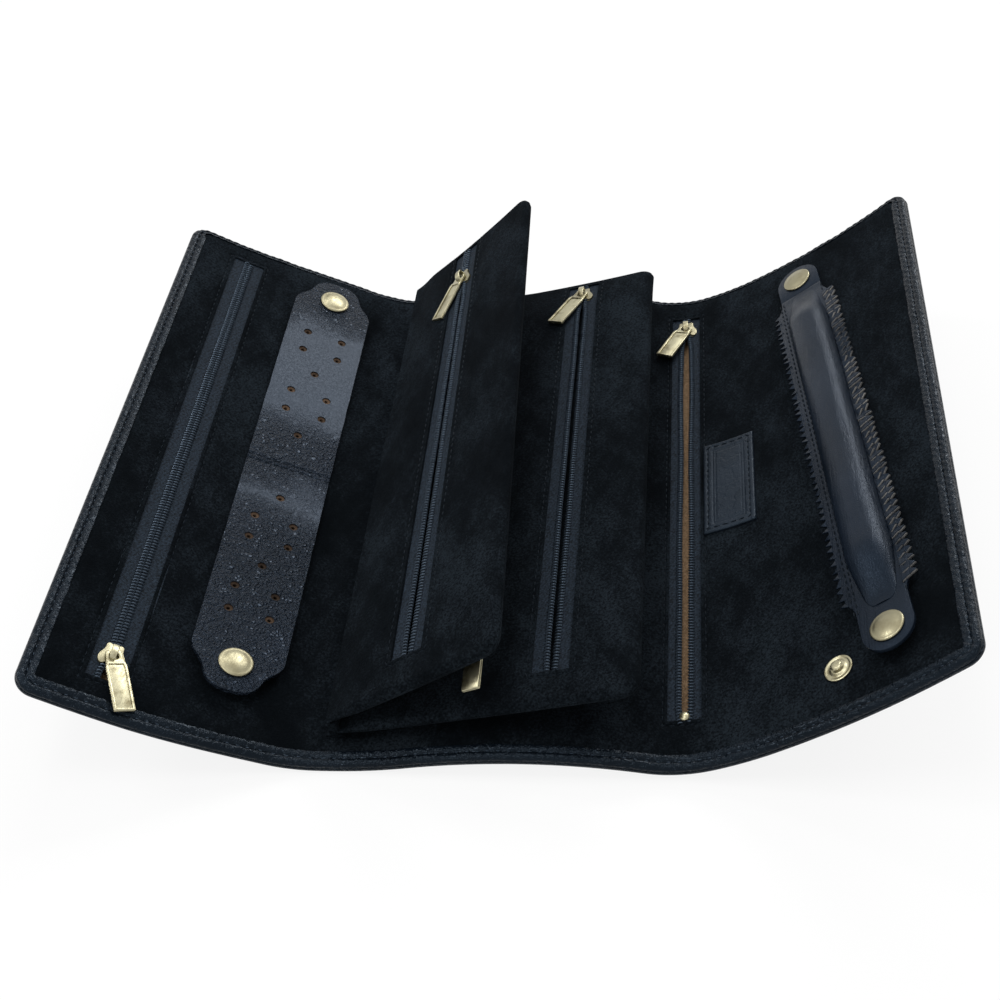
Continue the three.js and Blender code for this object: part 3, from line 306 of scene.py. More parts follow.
@dataclass(frozen=True)
class Suede:
    """Black suede whose nap is brushed into lighter patches and slanting strokes."""

    name: str = "suede_nap"
    dark: Triple = (0.0014, 0.0021, 0.0029)
    middle: Triple = (0.0032, 0.0045, 0.0060)
    brushed: Triple = (0.0120, 0.0165, 0.0215)

    def material(self) -> bpy.types.Material:
        """Builds the material."""
        sheet = ShaderSheet(self.name)
        patches = sheet.noise(24.0, 4.0, 0.6, sheet.place((1.0, 0.7, 1.0), 20.0))
        strokes = sheet.noise(95.0, 4.0, 0.65, sheet.place((1.0, 0.3, 1.0), -32.0))
        streaks = sheet.noise(330.0, 3.0, 0.6, sheet.place((1.0, 0.25, 1.0), 24.0))
        nap = sheet.noise(1250.0, 3.0, 0.75)
        wide = sheet.math("MULTIPLY", patches, 0.52)
        faint = sheet.math("MULTIPLY", streaks, 0.16)
        narrow = sheet.math("ADD", sheet.math("MULTIPLY", strokes, 0.32), faint)
        brushed = sheet.span(sheet.math("ADD", wide, narrow), 0.38, 0.64, 0.0, 1.0)
        grain = sheet.math("ADD", sheet.math("MULTIPLY", brushed, 0.8), 0.14)
        speckled = sheet.math("MULTIPLY", grain, sheet.span(nap, 0.3, 0.72, 0.25, 1.75))
        colour = sheet.ramp(speckled, (0.06, self.dark), (0.42, self.middle), (1.0, self.brushed))
        fine = sheet.bump(nap, 0.8, 0.35 * MM)
        normal = sheet.bump(streaks, 0.4, 0.35 * MM, fine)
        return sheet.finish(
            Base_Color=colour,
            Roughness=0.95,
            Normal=normal,
            Specular_IOR_Level=0.02,
            Sheen_Weight=0.01,
            Sheen_Roughness=0.5,
            Sheen_Tint=(0.6, 0.75, 0.9, 1.0),
        )


@dataclass(frozen=True)
class Leather:
    """Finished black leather: a fine pebble, folds, and a gloss broken by both."""

    name: str
    dark: Triple
    light: Triple
    pebble: float = 900.0
    pebble_depth: float = 0.12
    crinkle: float = 150.0
    crinkle_depth: float = 0.25
    rough: tuple[float, float] = (0.32, 0.5)
    specular: float = 0.3
    tint: Triple = (0.62, 0.80, 1.0)
    smooth_bands: tuple[tuple[float, float], ...] = ()
    stretch: float = 1.0
    band_wander: float = 22 * MM

    def material(self) -> bpy.types.Material:
        """Builds the material."""
        sheet = ShaderSheet(self.name)
        place = sheet.place()
        warp = sheet.node("ShaderNodeTexNoise", {"Vector": place, "Scale": 220.0, "Detail": 2.0})
        bend = {0: warp.outputs["Color"], 1: (1.2 * MM,) * 3, 2: place}
        bent = sheet.node("ShaderNodeVectorMath", bend, operation="MULTIPLY_ADD")
        cells = sheet.node(
            "ShaderNodeTexVoronoi",
            {"Vector": bent.outputs[0], "Scale": self.pebble, "Randomness": 1.0},
            feature="DISTANCE_TO_EDGE",
        ).outputs["Distance"]
        folds = sheet.noise(self.crinkle, 4.0, 0.6, sheet.place((1.0, self.stretch, 1.0)))
        creases = sheet.math("ABSOLUTE", sheet.math("SUBTRACT", folds, 0.5))
        colour = sheet.ramp(sheet.noise(35.0, 3.0, 0.55), (0.32, self.dark), (0.7, self.light))
        worn = self._worn(sheet)
        raised = sheet.span(cells, 0.0, 0.3, 0.0, 1.0)
        pebble = sheet.bump(raised, sheet.math("MULTIPLY", worn, 0.7), self.pebble_depth * MM)
        creased = sheet.span(creases, 0.0, 0.09, 0.0, 1.0)
        normal = sheet.bump(creased, sheet.math("MULTIPLY", worn, 0.8), self.crinkle_depth * MM, pebble)
        rough = sheet.span(sheet.noise(1400.0, 2.0, 0.6), 0.3, 0.7, *self.rough)
        return sheet.finish(
            Base_Color=colour,
            Roughness=sheet.math("ADD", rough, sheet.span(worn, 0.0, 1.0, 0.16, 0.0)),
            Normal=normal,
            Specular_IOR_Level=self.specular,
            Specular_Tint=(*self.tint, 1.0),
        )

    def _worn(self, sheet: ShaderSheet) -> Socket | float:
        """How strongly the grain shows: little within the bands of Y that stay smooth."""
        worn: Socket | float = 1.0
        for low, high in self.smooth_bands:
            wander = sheet.math("MULTIPLY", sheet.noise(60.0, 2.0), self.band_wander)
            middle, half = (low + high + self.band_wander) / 2, (high - low) / 2
            along = sheet.math("ADD", sheet.axis("Y"), wander)
            away = sheet.math("ABSOLUTE", sheet.math("SUBTRACT", along, middle))
            grainy = sheet.span(away, half - 12 * MM, half + 6 * MM, 0.04, 1.0)
            worn = sheet.math("MULTIPLY", worn, grainy)
        return worn


@dataclass(frozen=True)
class Weave:
    """Plain woven cloth, as on zip tape or pocket lining."""

    name: str
    dark: Triple
    light: Triple
    pitch: float = 0.55

    def material(self) -> bpy.types.Material:
        """Builds the material."""
        sheet = ShaderSheet(self.name)
        turns = math.pi / (self.pitch * MM)
        across, along = sheet.axis("X"), sheet.axis("Y")
        slanted = sheet.math("ADD", across, sheet.math("MULTIPLY", along, 0.5))
        weft = sheet.math("SINE", sheet.math("MULTIPLY", along, turns))
        warp = sheet.math("SINE", sheet.math("MULTIPLY", slanted, turns))
        woven = sheet.span(sheet.math("MULTIPLY", weft, warp), -1.0, 1.0, 0.0, 0.22)
        fuzz = sheet.span(sheet.noise(1500.0, 3.0, 0.65), 0.3, 0.7, 0.0, 0.8)
        tone = sheet.math("ADD", woven, fuzz)
        colour = sheet.ramp(tone, (0.2, self.dark), (0.95, self.light))
        normal = sheet.bump(tone, 0.7, 0.14 * MM)
        return sheet.finish(Base_Color=colour, Roughness=0.8, Normal=normal, Specular_IOR_Level=0.12)


@dataclass(frozen=True)
class AntiqueBrass:
    """Pale antique brass, brushed one way and darker where it isn't rubbed."""

    name: str = "antique_brass"
    rubbed: Triple = (0.43, 0.40, 0.27)
    aged: Triple = (0.15, 0.125, 0.065)

    def material(self) -> bpy.types.Material:
        """Builds the material."""
        sheet = ShaderSheet(self.name)
        clouds = sheet.noise(240.0, 4.0, 0.6)
        scratches = sheet.noise(1500.0, 3.0, 0.6, sheet.place((1.0, 0.12, 1.0), 15.0))
        colour = sheet.ramp(clouds, (0.26, self.aged), (0.52, self.rubbed))
        rough = sheet.span(scratches, 0.3, 0.7, 0.28, 0.46)
        normal = sheet.bump(scratches, 0.3, 0.03 * MM)
        return sheet.finish(Base_Color=colour, Metallic=1.0, Roughness=rough, Normal=normal)


@dataclass(frozen=True)
class Nylon:
    """Smooth moulded nylon or waxed thread."""

    name: str
    colour: Triple
    rough: float = 0.3
    specular: float = 0.5

    def material(self) -> bpy.types.Material:
        """Builds the material."""
        sheet = ShaderSheet(self.name)
        shade = sheet.noise(500.0, 2.0)
        dark = tuple(0.7 * c for c in self.colour)
        return sheet.finish(
            Base_Color=sheet.ramp(shade, (0.3, dark), (0.7, self.colour)),
            Roughness=sheet.span(shade, 0.3, 0.7, self.rough, self.rough + 0.12),
            Specular_IOR_Level=self.specular,
            Specular_Tint=(0.55, 0.75, 1.0, 1.0),
        )


@dataclass(frozen=True)
class FibreBoard:
    """The stiff board inside the panels."""

    name: str = "fibre_board"

    def material(self) -> bpy.types.Material:
        """Builds the material."""
        sheet = ShaderSheet(self.name)
        fibres = sheet.noise(700.0, 4.0, 0.7, sheet.place((1.0, 0.2, 1.0)))
        colour = sheet.ramp(fibres, (0.3, (0.22, 0.17, 0.11)), (0.7, (0.42, 0.35, 0.25)))
        return sheet.finish(Base_Color=colour, Roughness=0.9, Normal=sheet.bump(fibres, 0.4, 0.1 * MM))


RAW = {"pebble": 1800.0, "pebble_depth": 0.1, "crinkle": 700.0, "rough": (0.7, 0.9), "specular": 0.1}
BLUE_GLOSS = (0.50, 0.70, 1.0)


class Finish(Enum):
    """The case's finishes, each with the record's slot it belongs to."""

    BORDER = ("leather", Leather(
        "border_leather", (0.0016, 0.0027, 0.0044), (0.0045, 0.0072, 0.0112), pebble=700.0,
        pebble_depth=0.07, crinkle=210.0, crinkle_depth=0.18, rough=(0.12, 0.28), specular=0.13,
    ))
    PATCH = ("leather", Leather(
        "patch_leather", (0.0050, 0.0078, 0.0120), (0.0110, 0.0165, 0.0250), pebble=1100.0,
        pebble_depth=0.05, crinkle=140.0, crinkle_depth=0.12, rough=(0.30, 0.46), specular=0.18,
    ))
    SUEDE = ("suede", Suede())
    CRINKLED = ("grain", Leather(
        "crinkled_leather", (0.0040, 0.0060, 0.0095), (0.0090, 0.0125, 0.0190), pebble=800.0,
        pebble_depth=0.30, crinkle=260.0, crinkle_depth=0.42, rough=(0.14, 0.30), specular=0.18,
        tint=BLUE_GLOSS, smooth_bands=((24 * MM, 90 * MM), (-22 * MM, -3 * MM)),
    ))
    SMOOTH = ("smooth", Leather(
        "smooth_leather", (0.0030, 0.0052, 0.0090), (0.0085, 0.0130, 0.0215), pebble=1500.0,
        pebble_depth=0.04, crinkle=240.0, crinkle_depth=0.07, rough=(0.26, 0.42), specular=0.16,
        tint=BLUE_GLOSS, stretch=0.1,
    ))
    TAPE = ("tape", Weave("zip_tape", (0.0020, 0.0034, 0.0054), (0.022, 0.034, 0.051), 0.6))
    COIL = ("tape", Nylon("coil_nylon", (0.036, 0.048, 0.064), 0.24, 0.5))
    THREAD = ("leather", Nylon("sewing_thread", (0.0040, 0.0060, 0.0085), 0.55, 0.1))
    EDGE_THREAD = ("leather", Nylon("edge_thread", (0.018, 0.026, 0.037), 0.4, 0.35))
    RAW_EDGE = ("smooth", Leather(
        "raw_leather_edge", (0.030, 0.032, 0.036), (0.24, 0.23, 0.215), crinkle_depth=0.3, **RAW
    ))
    POCKET = ("bag", Weave("pocket_cloth", (0.12, 0.075, 0.040), (0.30, 0.20, 0.12), 0.4))
    HOLE_EDGE = ("grain", Leather(
        "hole_edge", (0.030, 0.019, 0.012), (0.13, 0.083, 0.053), crinkle_depth=0.2, **RAW
    ))
    BRASS = ("brass", AntiqueBrass())
    CAP_BRASS = ("brass", AntiqueBrass("cap_brass", (0.285, 0.262, 0.172), (0.225, 0.198, 0.122)))
    BOARD = ("board", FibreBoard())

    @property
    def slot(self) -> str:
        """The material slot of the record."""
        return self.value[0]

    @property
    def material(self) -> bpy.types.Material:
        """The material, built once."""
        found = bpy.data.materials.get(self.value[1].name)
        return found or self.value[1].material()


# ---- mesh tools


def linked(name: str, data: bpy.types.ID) -> Piece:
    """A new object with the given data, in the scene."""
    made = bpy.data.objects.new(name, data)
    bpy.context.scene.collection.objects.link(made)
    return made


def mesh_piece(
    name: str, points: np.ndarray, faces: Sequence[Sequence[int]], finish: Finish, sharp: float = 40.0
) -> Piece:
    """Makes one smooth-shaded piece.

    Args:
        name: The piece's name.
        points: Its vertices in the row frame.
        faces: Vertex numbers of each face, turning outwards.
        finish: What it is made of.
        sharp: The angle in degrees past which an edge stays sharp.

    Returns:
        The linked object.
    """
    data = bpy.data.meshes.new(name)
    data.from_pydata([tuple(p) for p in np.asarray(points, float)], [], [tuple(f) for f in faces])
    data.validate()
    data.update()
    piece = linked(name, data)
    data.materials.append(finish.material)
    data.shade_smooth()
    data.set_sharp_from_angle(angle=math.radians(sharp))
    return piece


def join(name: str, pieces: Sequence[Piece]) -> Piece:
    """Joins pieces of one finish or more into one object."""
    bpy.ops.object.select_all(action="DESELECT")
    for piece in pieces:
        piece.select_set(True)
    bpy.context.view_layer.objects.active = pieces[0]
    bpy.ops.object.join()
    pieces[0].name = name
    return pieces[0]


def plain(piece: Piece) -> Piece:
    """Turns a piece's live modifiers into a plain mesh."""
    evaluated = piece.evaluated_get(bpy.context.evaluated_depsgraph_get())
    data = bpy.data.meshes.new_from_object(evaluated)
    piece.modifiers.clear()
    piece.data = data
    return piece


def outwards(piece: Piece) -> Piece:
    """Turns all faces of a closed form outwards."""
    mesh = bmesh.new()
    mesh.from_mesh(piece.data)
    bmesh.ops.recalc_face_normals(mesh, faces=list(mesh.faces))
    mesh.to_mesh(piece.data)
    mesh.free()
    return piece


def soften(piece: Piece, bevel: float = 0.0, levels: int = 0, segments: int = 2) -> Piece:
    """Rounds a piece's edges with a bevel, a subdivision or both, and makes it plain."""
    if bevel:
        made = piece.modifiers.new("bevel", "BEVEL")
        made.width = bevel
        made.segments = segments
        made.limit_method = "ANGLE"
        made.angle_limit = math.radians(35)
    if levels:
        made = piece.modifiers.new("subdivision", "SUBSURF")
        made.levels = made.render_levels = levels
    plain(piece)
    piece.data.shade_smooth()
    piece.data.set_sharp_from_angle(angle=math.radians(50))
    return piece


def grid_lines(
    low: float,
    high: float,
    step: float,
    marks: Sequence[float] = (),
    near: float = 1.4 * MM,
    fine: float = 0.45 * MM,
) -> np.ndarray:
    """Places from low to high at a step, closer together beside the marks."""
    least = 0.2 * MM
    lines = list(np.linspace(low, high, max(2, int(round((high - low) / step)) + 1)))
    for mark in marks:
        lines += list(np.arange(mark - near, mark + near + fine / 2, fine))
    kept = [low]
    for value in sorted(v for v in lines if low <= v <= high):
        if value - kept[-1] > least:
            kept.append(value)
    kept[-1] = high
    return np.array(kept)


@dataclass(frozen=True)
class Window:
    """A zip's window in a sheet: its middle line, its ends and the stitches round it."""

    middle: float
    low: float
    high: float
    half: float = 6.0 * MM
    stitch_half: float = 7.6 * MM
    stitch_out: float = 1.6 * MM

    def across(self) -> list[float]:
        """Where the sheet's lines lie close together across the window."""
        return [self.middle + side * half for half in (self.stitch_half, self.half) for side in (-1, 1)]

    def along(self, out: float) -> list[float]:
        """Where the sheet's lines lie close together along it, a little out of its ends too."""
        return [self.low, self.high, self.low - out, self.high + out]

    def cut(self, x: np.ndarray, y: np.ndarray) -> tuple[np.ndarray, np.ndarray, np.ndarray]:
        """The sheet's lines moved onto the window's edges, and which of its cells are kept."""
        x, y = x.copy(), y.copy()
        edges = (self.middle - self.half, self.middle + self.half)
        for lines, marks in ((x, edges), (y, (self.low, self.high))):
            for mark in marks:
                lines[np.argmin(np.abs(lines - mark))] = mark
        middle_x, middle_y = (x[1:] + x[:-1]) / 2, (y[1:] + y[:-1]) / 2
        inside = np.abs(middle_x - self.middle) < self.half
        between = (middle_y > self.low) & (middle_y < self.high)
        return x, y, ~(inside[:, None] & between[None, :])

    def outside(self, x: np.ndarray, y: np.ndarray) -> np.ndarray:
        """How far each place lies outside the window."""
        return np.maximum(np.abs(x - self.middle) - self.half, np.maximum(y - self.high, self.low - y))

    def stitched(self) -> tuple[float, float, float, float]:
        """The stitched line's left, right, front and back."""
        low, high = self.low - self.stitch_out, self.high + self.stitch_out
        return self.middle - self.stitch_half, self.middle + self.stitch_half, low, high


def slab(
    name: str, top: np.ndarray, bottom: np.ndarray, finish: Finish, keep: np.ndarray | None = None
) -> Piece:
    """A closed sheet between two grids of points.

    Args:
        name: The piece's name.
        top: Points (m, n, 3) of the face that looks up.
        bottom: Points (m, n, 3) of the face that looks down.
        finish: What it is made of.
        keep: Which of the (m-1, n-1) cells are there, for windows.

    Returns:
        The linked object.
    """
    m, n = top.shape[:2]
    if keep is None:
        keep = np.ones((m - 1, n - 1), bool)
    there = np.zeros((m + 1, n + 1), bool)
    there[1:-1, 1:-1] = keep

    def number(i: int, j: int, low: int) -> int:
        """The number of a grid point's vertex, on the top or the bottom."""
        return low * m * n + i * n + j

    faces = []
    for i, j in np.argwhere(keep):
        ring = [(i, j), (i + 1, j), (i + 1, j + 1), (i, j + 1)]
        faces.append([number(a, b, 0) for a, b in ring])
        faces.append([number(a, b, 1) for a, b in reversed(ring)])
        beside = (there[i + 1, j], there[i + 2, j + 1], there[i + 1, j + 2], there[i, j + 1])
        for side, filled in enumerate(beside):
            if not filled:
                a, b = ring[side], ring[(side + 1) % 4]
                faces.append([number(*a, 0), number(*a, 1), number(*b, 1), number(*b, 0)])
    points = np.concatenate([top.reshape(-1, 3), bottom.reshape(-1, 3)])
    used = np.unique(np.concatenate([np.asarray(f) for f in faces]))
    renumber = np.full(len(points), -1)
    renumber[used] = np.arange(len(used))
    return mesh_piece(name, points[used], [[int(renumber[v]) for v in f] for f in faces], finish)


def swept(name: str, rings: np.ndarray, finish: Finish, closed: bool = False) -> Piece:
    """A closed form through rings of points, with capped ends unless the path closes.

    Args:
        name: The piece's name.
        rings: Points (m, n, 3), each ring counterclockwise as seen from the path's end.
        finish: What it is made of.
        closed: Whether the last ring joins the first.

    Returns:
        The linked object.
    """
    m, n = rings.shape[:2]
    faces = []
    for i in range(m if closed else m - 1):
        for j in range(n):
            a, b = i * n + j, i * n + (j + 1) % n
            c, d = ((i + 1) % m) * n + (j + 1) % n, ((i + 1) % m) * n + j
            faces.append([a, b, c, d])
    if not closed:
        faces.append(list(range(n))[::-1])
        faces.append([(m - 1) * n + j for j in range(n)])
    return mesh_piece(name, rings.reshape(-1, 3), faces, finish)


def outline_solid(
    name: str,
    outline: np.ndarray,
    low: float,
    high: float,
    seat: Seat,
    finish: Finish,
    holes: Sequence[np.ndarray] = (),
) -> Piece:
    """A flat outline with holes, raised between two heights of a seat.

    Args:
        name: The piece's name.
        outline: Points (n, 2), counterclockwise.
        low: The lower height.
        high: The upper height.
        seat: Where it lies.
        finish: What it is made of.
        holes: Outlines of the holes.

    Returns:
        The linked object.
    """
    mesh = bmesh.new()
    loops = []
    for ring in [outline, *holes]:
        vertices = [mesh.verts.new((x, y, 0.0)) for x, y in ring]
        loops += [mesh.edges.new(pair) for pair in zip(vertices, vertices[1:] + vertices[:1])]
    bmesh.ops.triangle_fill(mesh, use_beauty=True, use_dissolve=False, edges=loops)
    for face in mesh.faces:
        if face.normal.z < 0:
            face.normal_flip()
    made = bmesh.ops.extrude_face_region(mesh, geom=list(mesh.faces))
    raised = {v for v in made["geom"] if isinstance(v, bmesh.types.BMVert)}
    for vertex in mesh.verts:
        height = high if vertex in raised else low
        vertex.co = Vector(seat.place(np.array([vertex.co.x, vertex.co.y, height])))
    bmesh.ops.recalc_face_normals(mesh, faces=list(mesh.faces))
    data = bpy.data.meshes.new(name)
    mesh.to_mesh(data)
    mesh.free()
    piece = linked(name, data)
    data.materials.append(finish.material)
    return piece


def mirrored(right: Sequence[tuple[float, float]], first: int = 0) -> np.ndarray:
    """An outline in metres, counterclockwise from one of its points.

    Args:
        right: Its right side from the bottom up, in millimetres.
        first: Which of the outline's points comes first, counted from the start of its right side.

    Returns:
        The right side with its mirror image.
    """
    points = np.array(right) * MM
    return np.roll(np.concatenate([points, (points * [-1, 1])[::-1]]), -first, axis=0)


def lathe(
    name: str, profile: Sequence[tuple[float, float]], seat: Seat, finish: Finish, steps: int = 48
) -> Piece:
    """A turned form standing on a seat.

    Args:
        name: The piece's name.
        profile: Rows of (radius, height) in millimetres, from the axis back to the axis.
        seat: Where it stands.
        finish: What it is made of.
        steps: How many faces go round it.

    Returns:
        The linked object.
    """
    (_, low), *inner, (_, high) = np.array(profile) * MM
    turns = 2 * math.pi * np.arange(steps) / steps
    rings = [np.stack([r * np.cos(turns), r * np.sin(turns), 0 * turns + h], axis=-1) for r, h in inner]
    points = seat.place(np.concatenate([[(0.0, 0.0, low)], *rings, [(0.0, 0.0, high)]]))
    faces = []
    for k in range(steps):
        after = (k + 1) % steps
        faces.append([0, 1 + after, 1 + k])
        for ring in range(len(inner) - 1):
            a, b = 1 + ring * steps, 1 + (ring + 1) * steps
            faces.append([a + k, a + after, b + after, b + k])
        top = 1 + (len(inner) - 1) * steps
        faces.append([top + k, top + after, len(points) - 1])
    return mesh_piece(name, points, faces, finish, 50.0)


def rolling(x: np.ndarray, y: np.ndarray, scale: float, seed: float) -> np.ndarray:
    """Smooth rolling noise between about -1 and 1 over a plane."""
    x, y = np.broadcast_arrays(x, y)
    flat = [noise.noise(Vector((a / scale, b / scale, seed))) for a, b in zip(x.ravel(), y.ravel())]
    return np.array(flat).reshape(x.shape)


# ---- repeated detail


class RowTree(NodeSheet):
    """Geometry Nodes that set one small form along a path at an even pitch."""

    INPUTS = {
        "Pitch": "Float",
        "Size": "Vector",
        "Up": "Vector",
        "Wobble": "Float",
        "Seed": "Int",
        "Form": "Object",
    }

    def __init__(self, name: str) -> None:
        """Starts a tree with a path coming in and a dressed mesh going out."""
        super().__init__(bpy.data.node_groups.new(name, "GeometryNodeTree"))
        face = self.tree.interface
        face.new_socket("Path", in_out="INPUT", socket_type="NodeSocketGeometry")
        face.new_socket("Rows", in_out="OUTPUT", socket_type="NodeSocketGeometry")
        self.sockets = {
            key: face.new_socket(key, in_out="INPUT", socket_type=f"NodeSocket{kind}").identifier
            for key, kind in self.INPUTS.items()
        }

    def build(self, given: bool, material: bpy.types.Material) -> None:
        """Sets a form on every point of the path.

        Args:
            given: Whether the form is the object that comes in, or else a bead of thread.
            material: What the form is made of.
        """
        entry = self.node("NodeGroupInput").outputs
        curve = self.node("GeometryNodeMeshToCurve", {"Mesh": entry["Path"]})
        spaced = {"Curve": curve.outputs["Curve"], "Length": entry["Pitch"]}
        points = self.node("GeometryNodeResampleCurve", spaced, mode="LENGTH")
        tangent = self.node("GeometryNodeInputTangent")
        along = self.node("FunctionNodeAlignRotationToVector", {"Vector": tangent.outputs[0]}, axis="Y")
        upright = self.node(
            "FunctionNodeAlignRotationToVector",
            {"Rotation": along.outputs[0], "Vector": entry["Up"]},
            axis="Z",
            pivot_axis="Y",
        )
        wobble = self.node("FunctionNodeRandomValue", {"Seed": entry["Seed"]}, data_type="FLOAT_VECTOR")
        for end, sign in (("Min", -1.0), ("Max", 1.0)):
            ends = {0: (sign,) * 3, 1: entry["Wobble"]}
            reach = self.node("ShaderNodeVectorMath", ends, operation="MULTIPLY")
            self.feed(wobble.inputs[end], reach.outputs[0])
        turns = {"Rotation": upright.outputs[0], "Rotate By": wobble.outputs["Value"]}
        shaken = self.node("FunctionNodeRotateRotation", turns, rotation_space="LOCAL")
        if given:
            form = self.node("GeometryNodeObjectInfo", {"Object": entry["Form"]}).outputs["Geometry"]
        else:
            bead = {"Segments": 8, "Rings": 5, "Radius": 0.5}
            form = self.node("GeometryNodeMeshUVSphere", bead).outputs["Mesh"]
        placed = {"Points": points.outputs["Curve"], "Instance": form}
        posed = {"Rotation": shaken.outputs[0], "Scale": entry["Size"]}
        rows = self.node("GeometryNodeInstanceOnPoints", {**placed, **posed})
        real = self.node("GeometryNodeRealizeInstances", {"Geometry": rows.outputs["Instances"]})
        smooth = self.node("GeometryNodeSetShadeSmooth", {0: real.outputs["Geometry"]})
        dressed = self.node("GeometryNodeSetMaterial", {"Geometry": smooth.outputs[0], "Material": material})
        self.node("NodeGroupOutput", {"Rows": dressed.outputs["Geometry"]})


@dataclass
class RowMaker:
    """Lays rows of one small form, such as stitches, along paths."""

    name: str
    finish: Finish
    pitch: float
    size: Triple
    wobble: float = 0.0
    template: Piece | None = None
    tree: RowTree | None = field(default=None, init=False)

    def __post_init__(self) -> None:
        """Builds the tree once for all the rows."""
        self.tree = RowTree(f"{self.name}_row")
        self.tree.build(self.template is not None, self.finish.material)

    def lay(
        self, name: str, paths: Sequence[np.ndarray], up: Sequence[float] = (0.0, 0.0, 1.0), seed: int = 7
    ) -> Piece:
        """Lays the form along each path.

        Args:
            name: The new piece's name.
            paths: Arrays (n, 3) of points.
            up: The direction the form's top faces.
            seed: The seed of its small irregularities.

        Returns:
            The row as a plain mesh.
        """
        points, edges = [], []
        for path in paths:
            start = len(points)
            points += [tuple(p) for p in path]
            edges += [(start + k, start + k + 1) for k in range(len(path) - 1)]
        data = bpy.data.meshes.new(name)
        data.from_pydata(points, edges, [])
        piece = linked(name, data)
        made = piece.modifiers.new("row", "NODES")
        made.node_group = self.tree.tree
        values: dict[str, object] = {
            "Pitch": self.pitch,
            "Size": self.size,
            "Up": tuple(float(v) for v in up),
            "Wobble": self.wobble,
            "Seed": seed,
        }
        if self.template:
            values["Form"] = self.template
        for key, value in values.items():
            made[self.tree.sockets[key]] = value
        plain(piece)
        return piece


def stitches(pitch: float, length: float, thick: float, finish: Finish = Finish.THREAD) -> RowMaker:
    """A maker of sewn stitches of a given pitch, length and thread."""
    return RowMaker("stitch", finish, pitch, (thick, length, thick * 0.8), 0.09)


def path_on_cover(
    corners: Sequence[tuple[float, float]], height: Callable[[np.ndarray, np.ndarray], np.ndarray]
) -> np.ndarray:
    """Points over the cover along straight runs between (s, y) corners."""
    step = 2 * MM
    runs = []
    for start, end in zip(corners[:-1], corners[1:]):
        count = max(2, int(math.dist(start, end) / step) + 1)
        runs.append(np.linspace(start, end, count)[:-1])
    s, y = np.concatenate([*runs, corners[-1:]]).T
    return PROFILE.place(s, y, height(s, y))


# ---- cover


@dataclass(frozen=True)
class Region:
    """A length of the cover that rides on one body, or lies between two."""

    name: str
    start: float
    end: float
    bodies: tuple[str, ...]
    replaces: tuple[str, ...] = ()


